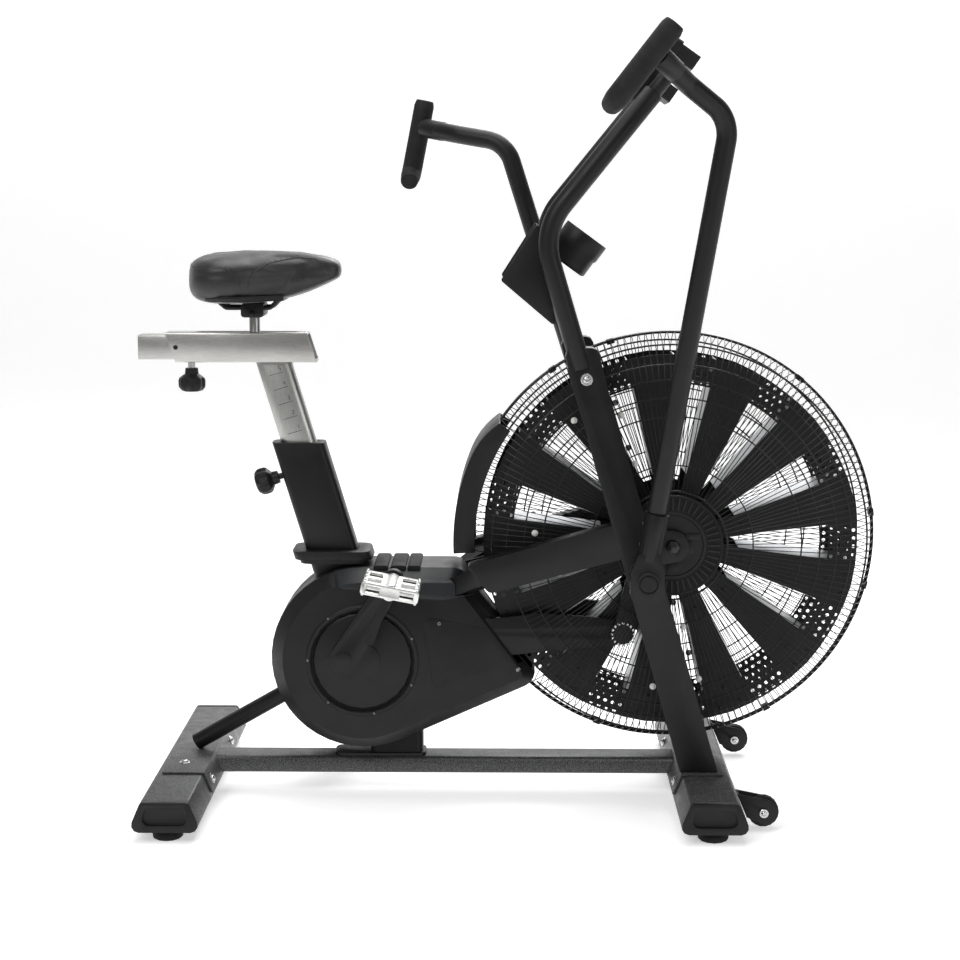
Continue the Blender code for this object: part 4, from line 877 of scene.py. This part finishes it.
# ---- saddle --------------------------------------------------------------------------------
def saddle():
    """A lofted cushion, inflated a little as cloth, then dished and seamed."""
    stations = [(-0.5160, 0.030, 0.840, 0.878), (-0.5100, 0.062, 0.827, 0.889),
                (-0.4960, 0.083, 0.8205, 0.8955),
                (-0.4700, 0.098, 0.8190, 0.8980), (-0.4350, 0.097, 0.8190, 0.8990), (-0.4000, 0.078, 0.8205,
                                                                                     0.8995),
                (-0.3650, 0.054, 0.8255, 0.8990), (-0.3300, 0.039, 0.8345, 0.8975), (-0.3000, 0.032, 0.8470,
                                                                                     0.8950),
                (-0.2790, 0.026, 0.8560, 0.8885), (-0.2705, 0.014, 0.8620, 0.8810)]
    bm = bmesh.new()
    rings = []
    for x, half, low, high in stations:
        ring = []
        for k in range(28):
            a = math.tau * k / 28
            y = math.copysign(abs(math.cos(a)) ** 0.62, math.cos(a)) * half
            lift = math.copysign(abs(math.sin(a)) ** 0.72, math.sin(a))
            z = (low + high) / 2 + lift * (high - low) / 2
            ring.append(bm.verts.new((x, y, z)))
        rings.append(ring)
    for a, b in zip(rings, rings[1:]):
        for k in range(28):
            j = (k + 1) % 28
            bm.faces.new((a[k], a[j], b[j], b[k]))
    bm.faces.new(rings[0][::-1])
    bm.faces.new(rings[-1])
    cushion = object_from(bm, "saddle_cover")
    smooth = cushion.modifiers.new("smooth", "SUBSURF")
    smooth.levels = smooth.render_levels = 2
    bake(cushion)
    cushion.data.remesh_voxel_size = 0.0045
    bpy.context.view_layer.objects.active = cushion
    cushion.select_set(True)
    bpy.ops.object.voxel_remesh()
    rest = [v.co.copy() for v in cushion.data.vertices]
    cloth = cushion.modifiers.new("cloth", "CLOTH")
    cloth.settings.use_pressure = True
    cloth.settings.uniform_pressure_force = 4
    cloth.settings.effector_weights.gravity = 0
    for step in range(1, 15):
        bpy.context.scene.frame_set(step)
    bake(cushion)
    bpy.context.scene.frame_set(1)
    for vert, start in zip(cushion.data.vertices, rest):
        move = vert.co - start
        if move.length > 0.0035:
            vert.co = start + move.normalized() * 0.0035
    for vert in cushion.data.vertices:
        co = vert.co
        half = max(0.02, 0.10 * (1 - max(0.0, (co.x + 0.44)) / 0.24))
        if co.z > 0.872:
            trough = math.exp(-(co.y / 0.010) ** 2) * min(1.0, max(0.0, (-0.30 - co.x) / 0.06))
            co.z -= 0.0045 * trough
            co.z += 0.0009 * noise.noise(co * 45)
        crease = math.exp(-((co.z - 0.866) / 0.004) ** 2) * (abs(co.y) > 0.25 * half)
        co.y -= math.copysign(0.0016, co.y) * crease
    soft = cushion.modifiers.new("smooth", "SUBSURF")
    soft.levels = soft.render_levels = 1
    bake(cushion)
    settle(cushion, "saddle", "leather", ["saddle_cushion"], angle=80)
    stitch_lines(cushion)


def stitch_lines(cushion):
    """Seams laid on the cover: a welt round the tail panel and one along each side of the nose."""
    surface = BVHTree.FromPolygons([v.co for v in cushion.data.vertices],
                                    [p.vertices[:] for p in cushion.data.polygons])
    seams, threads = bmesh.new(), bmesh.new()
    side_line = [(-0.5130, 0.8840), (-0.5010, 0.8760), (-0.4480, 0.8800), (-0.4270, 0.8580),
                 (-0.4240, 0.8290)]
    nose_line = [(-0.4185, 0.8290), (-0.4080, 0.8700), (-0.3830, 0.8850), (-0.3400, 0.8930),
                 (-0.3070, 0.8900),
                 (-0.2910, 0.8660)]
    for side in (-1, 1):
        for line in (side_line, nose_line):
            dense = []
            for (x0, z0), (x1, z1) in zip(line, line[1:]):
                dense += [(x0 + (x1 - x0) * k / 10, z0 + (z1 - z0) * k / 10) for k in range(10)]
            dense.append(line[-1])
            laid = []
            for x, z in dense:
                hit = surface.ray_cast(Vector((x, side * 0.2, z)), Vector((0, -side, 0)))
                if hit[0] is not None:
                    laid.append(hit[0] + hit[1] * 0.0002)
            laid = [laid[0]] + [(a + b + c) / 3 for a, b, c in zip(laid, laid[1:], laid[2:])] + [laid[-1]]
            add_tube(seams, laid, 0.0008, 8)
            for a, b in list(zip(laid, laid[1:]))[::2]:
                lift = Vector((0, side * 0.0004, 0.0020))
                add_tube(threads, [a + lift, a.lerp(b, 0.75) + lift], 0.00035, 6)
    settle(object_from(seams, "saddle_seams"), "saddle", "leather")
    settle(object_from(threads, "saddle_stitches"), "saddle", "thread")


# ---- every other CAD node ------------------------------------------------------------------
LOOK_OF = {"fan_axle": "dark_steel", "seat_post": "post_metal", "right_pedal": "pedal_metal",
           "left_pedal": "pedal_metal",
           "console_screen": "screen"}
WIDTHS = {"right_pedal": 0.0008, "left_pedal": 0.0008, "seat_slider_sleeve": 0.0007, "seat_post": 0.0004,
          "saddle_slide": 0.0007, "main_beam": 0.0008, "rear_foot_beam": 0.0015,
          "front_foot_beam": 0.0015, "right_side_frame": 0.0018, "left_side_frame": 0.0018,
          "right_housing": 0.0012, "left_housing": 0.0012, "housing_top_cover": 0.0012,
          "wind_shield": 0.0012, "console_body": 0.0025, "accessory_tray": 0.0012,
          "drive_belt": 0.0003, "seat_frame": 0.0015}


def refined(node):
    """The CAD node's own form with shared corners, soft edges and smooth shading."""
    bm = bmesh.new()
    bm.from_mesh(NODES[node].data)
    bmesh.ops.remove_doubles(bm, verts=bm.verts[:], dist=2e-6)
    bmesh.ops.dissolve_limit(bm, angle_limit=math.radians(0.6), verts=bm.verts[:], edges=bm.edges[:])
    piece = object_from(bm, node + "_surface")
    round_edges(piece, WIDTHS.get(node, 0.0008))
    settle(piece, BODY_OF[node], LOOK_OF.get(node, SLOT_OF[node]), [node])


# ---- stage ---------------------------------------------------------------------------------
def stage():
    bm = bmesh.new()
    profile = [(-6.0, 0.0), (4.0, 0.0)] + [(4.0 + 1.5 * math.sin(a), 1.5 - 1.5 * math.cos(a))
                                           for a in (k * math.pi / 24 for k in range(1, 13))] + [(5.5, 6.0)]
    rows = [[bm.verts.new((x, y, z)) for y, z in profile] for x in (-9.0, 9.0)]
    for k in range(len(profile) - 1):
        bm.faces.new((rows[0][k], rows[1][k], rows[1][k + 1], rows[0][k + 1]))
    backdrop = object_from(bm, "studio_floor")
    paper = Finish("studio_paper", (0.90, 0.90, 0.90), 0.9)
    paper.tint(paper.ramp(paper.noise(1.5, 3), 0.4, 0.7, 0, 0.3), (0.88, 0.88, 0.885))
    paper.shader.inputs["Emission Color"].default_value = (1, 1, 1, 1)
    paper.shader.inputs["Emission Strength"].default_value = 0.47
    backdrop.data.materials.append(paper.material)
    backdrop.data.shade_smooth()
    world = bpy.data.worlds.new("studio")
    bpy.context.scene.world = world
    world.use_nodes = True
    background = world.node_tree.nodes["Background"]
    background.inputs["Color"].default_value = (1, 1, 1, 1)
    seen = world.node_tree.nodes.new("ShaderNodeLightPath").outputs["Is Camera Ray"]
    strength = world.node_tree.nodes.new("ShaderNodeMath")
    strength.operation = "MULTIPLY_ADD"
    strength.inputs[1].default_value = 0.78
    strength.inputs[2].default_value = 0.22
    world.node_tree.links.new(seen, strength.inputs[0])
    world.node_tree.links.new(strength.outputs[0], background.inputs["Strength"])
    for name, place, aim, size, energy in (("key", (-1.6, -2.4, 2.9), (0, 0, 0.6), 1.6, 44),
                                           ("fill", (2.4, -2.2, 1.5), (0, 0, 0.6), 1.4, 13),
                                           ("rim", (0.6, 2.4, 2.6), (0, 0, 0.7), 1.6, 55),
                                           ("top", (0.0, 0.3, 3.2), (0, 0, 0.4), 2.2, 64)):
        light = bpy.data.lights.new(name, "AREA")
        light.size = size
        light.energy = energy
        lamp = bpy.data.objects.new(name, light)
        lamp.location = place
        lamp.rotation_euler = (Vector(aim) - Vector(place)).to_track_quat("-Z", "Y").to_euler()
        bpy.context.scene.collection.objects.link(lamp)
    lens_data = bpy.data.cameras.new("camera")
    lens_data.lens = 74.74
    lens_data.sensor_width = 36
    camera = bpy.data.objects.new("camera", lens_data)
    camera.location = (-0.002, -3.25, 1.0205)
    camera.rotation_euler = (math.radians(81.36), 0, math.radians(0.784))
    bpy.context.scene.collection.objects.link(camera)
    bpy.context.scene.camera = camera
    bpy.context.scene.view_settings.view_transform = "Standard"


guard(-1, "right")
guard(1, "left")
guard_clips()
fan()
hub_cover(-1, "right")
hub_cover(1, "left")
masts()
levers()
knobs()
fasteners()
casing_trim()
seat_marks()
crank_trim()
rod_bearings()
pedal_pins()
console_keys()
saddle()
for node in sorted(NODES):
    if not NODES[node].hide_render:
        refined(node)
stage()
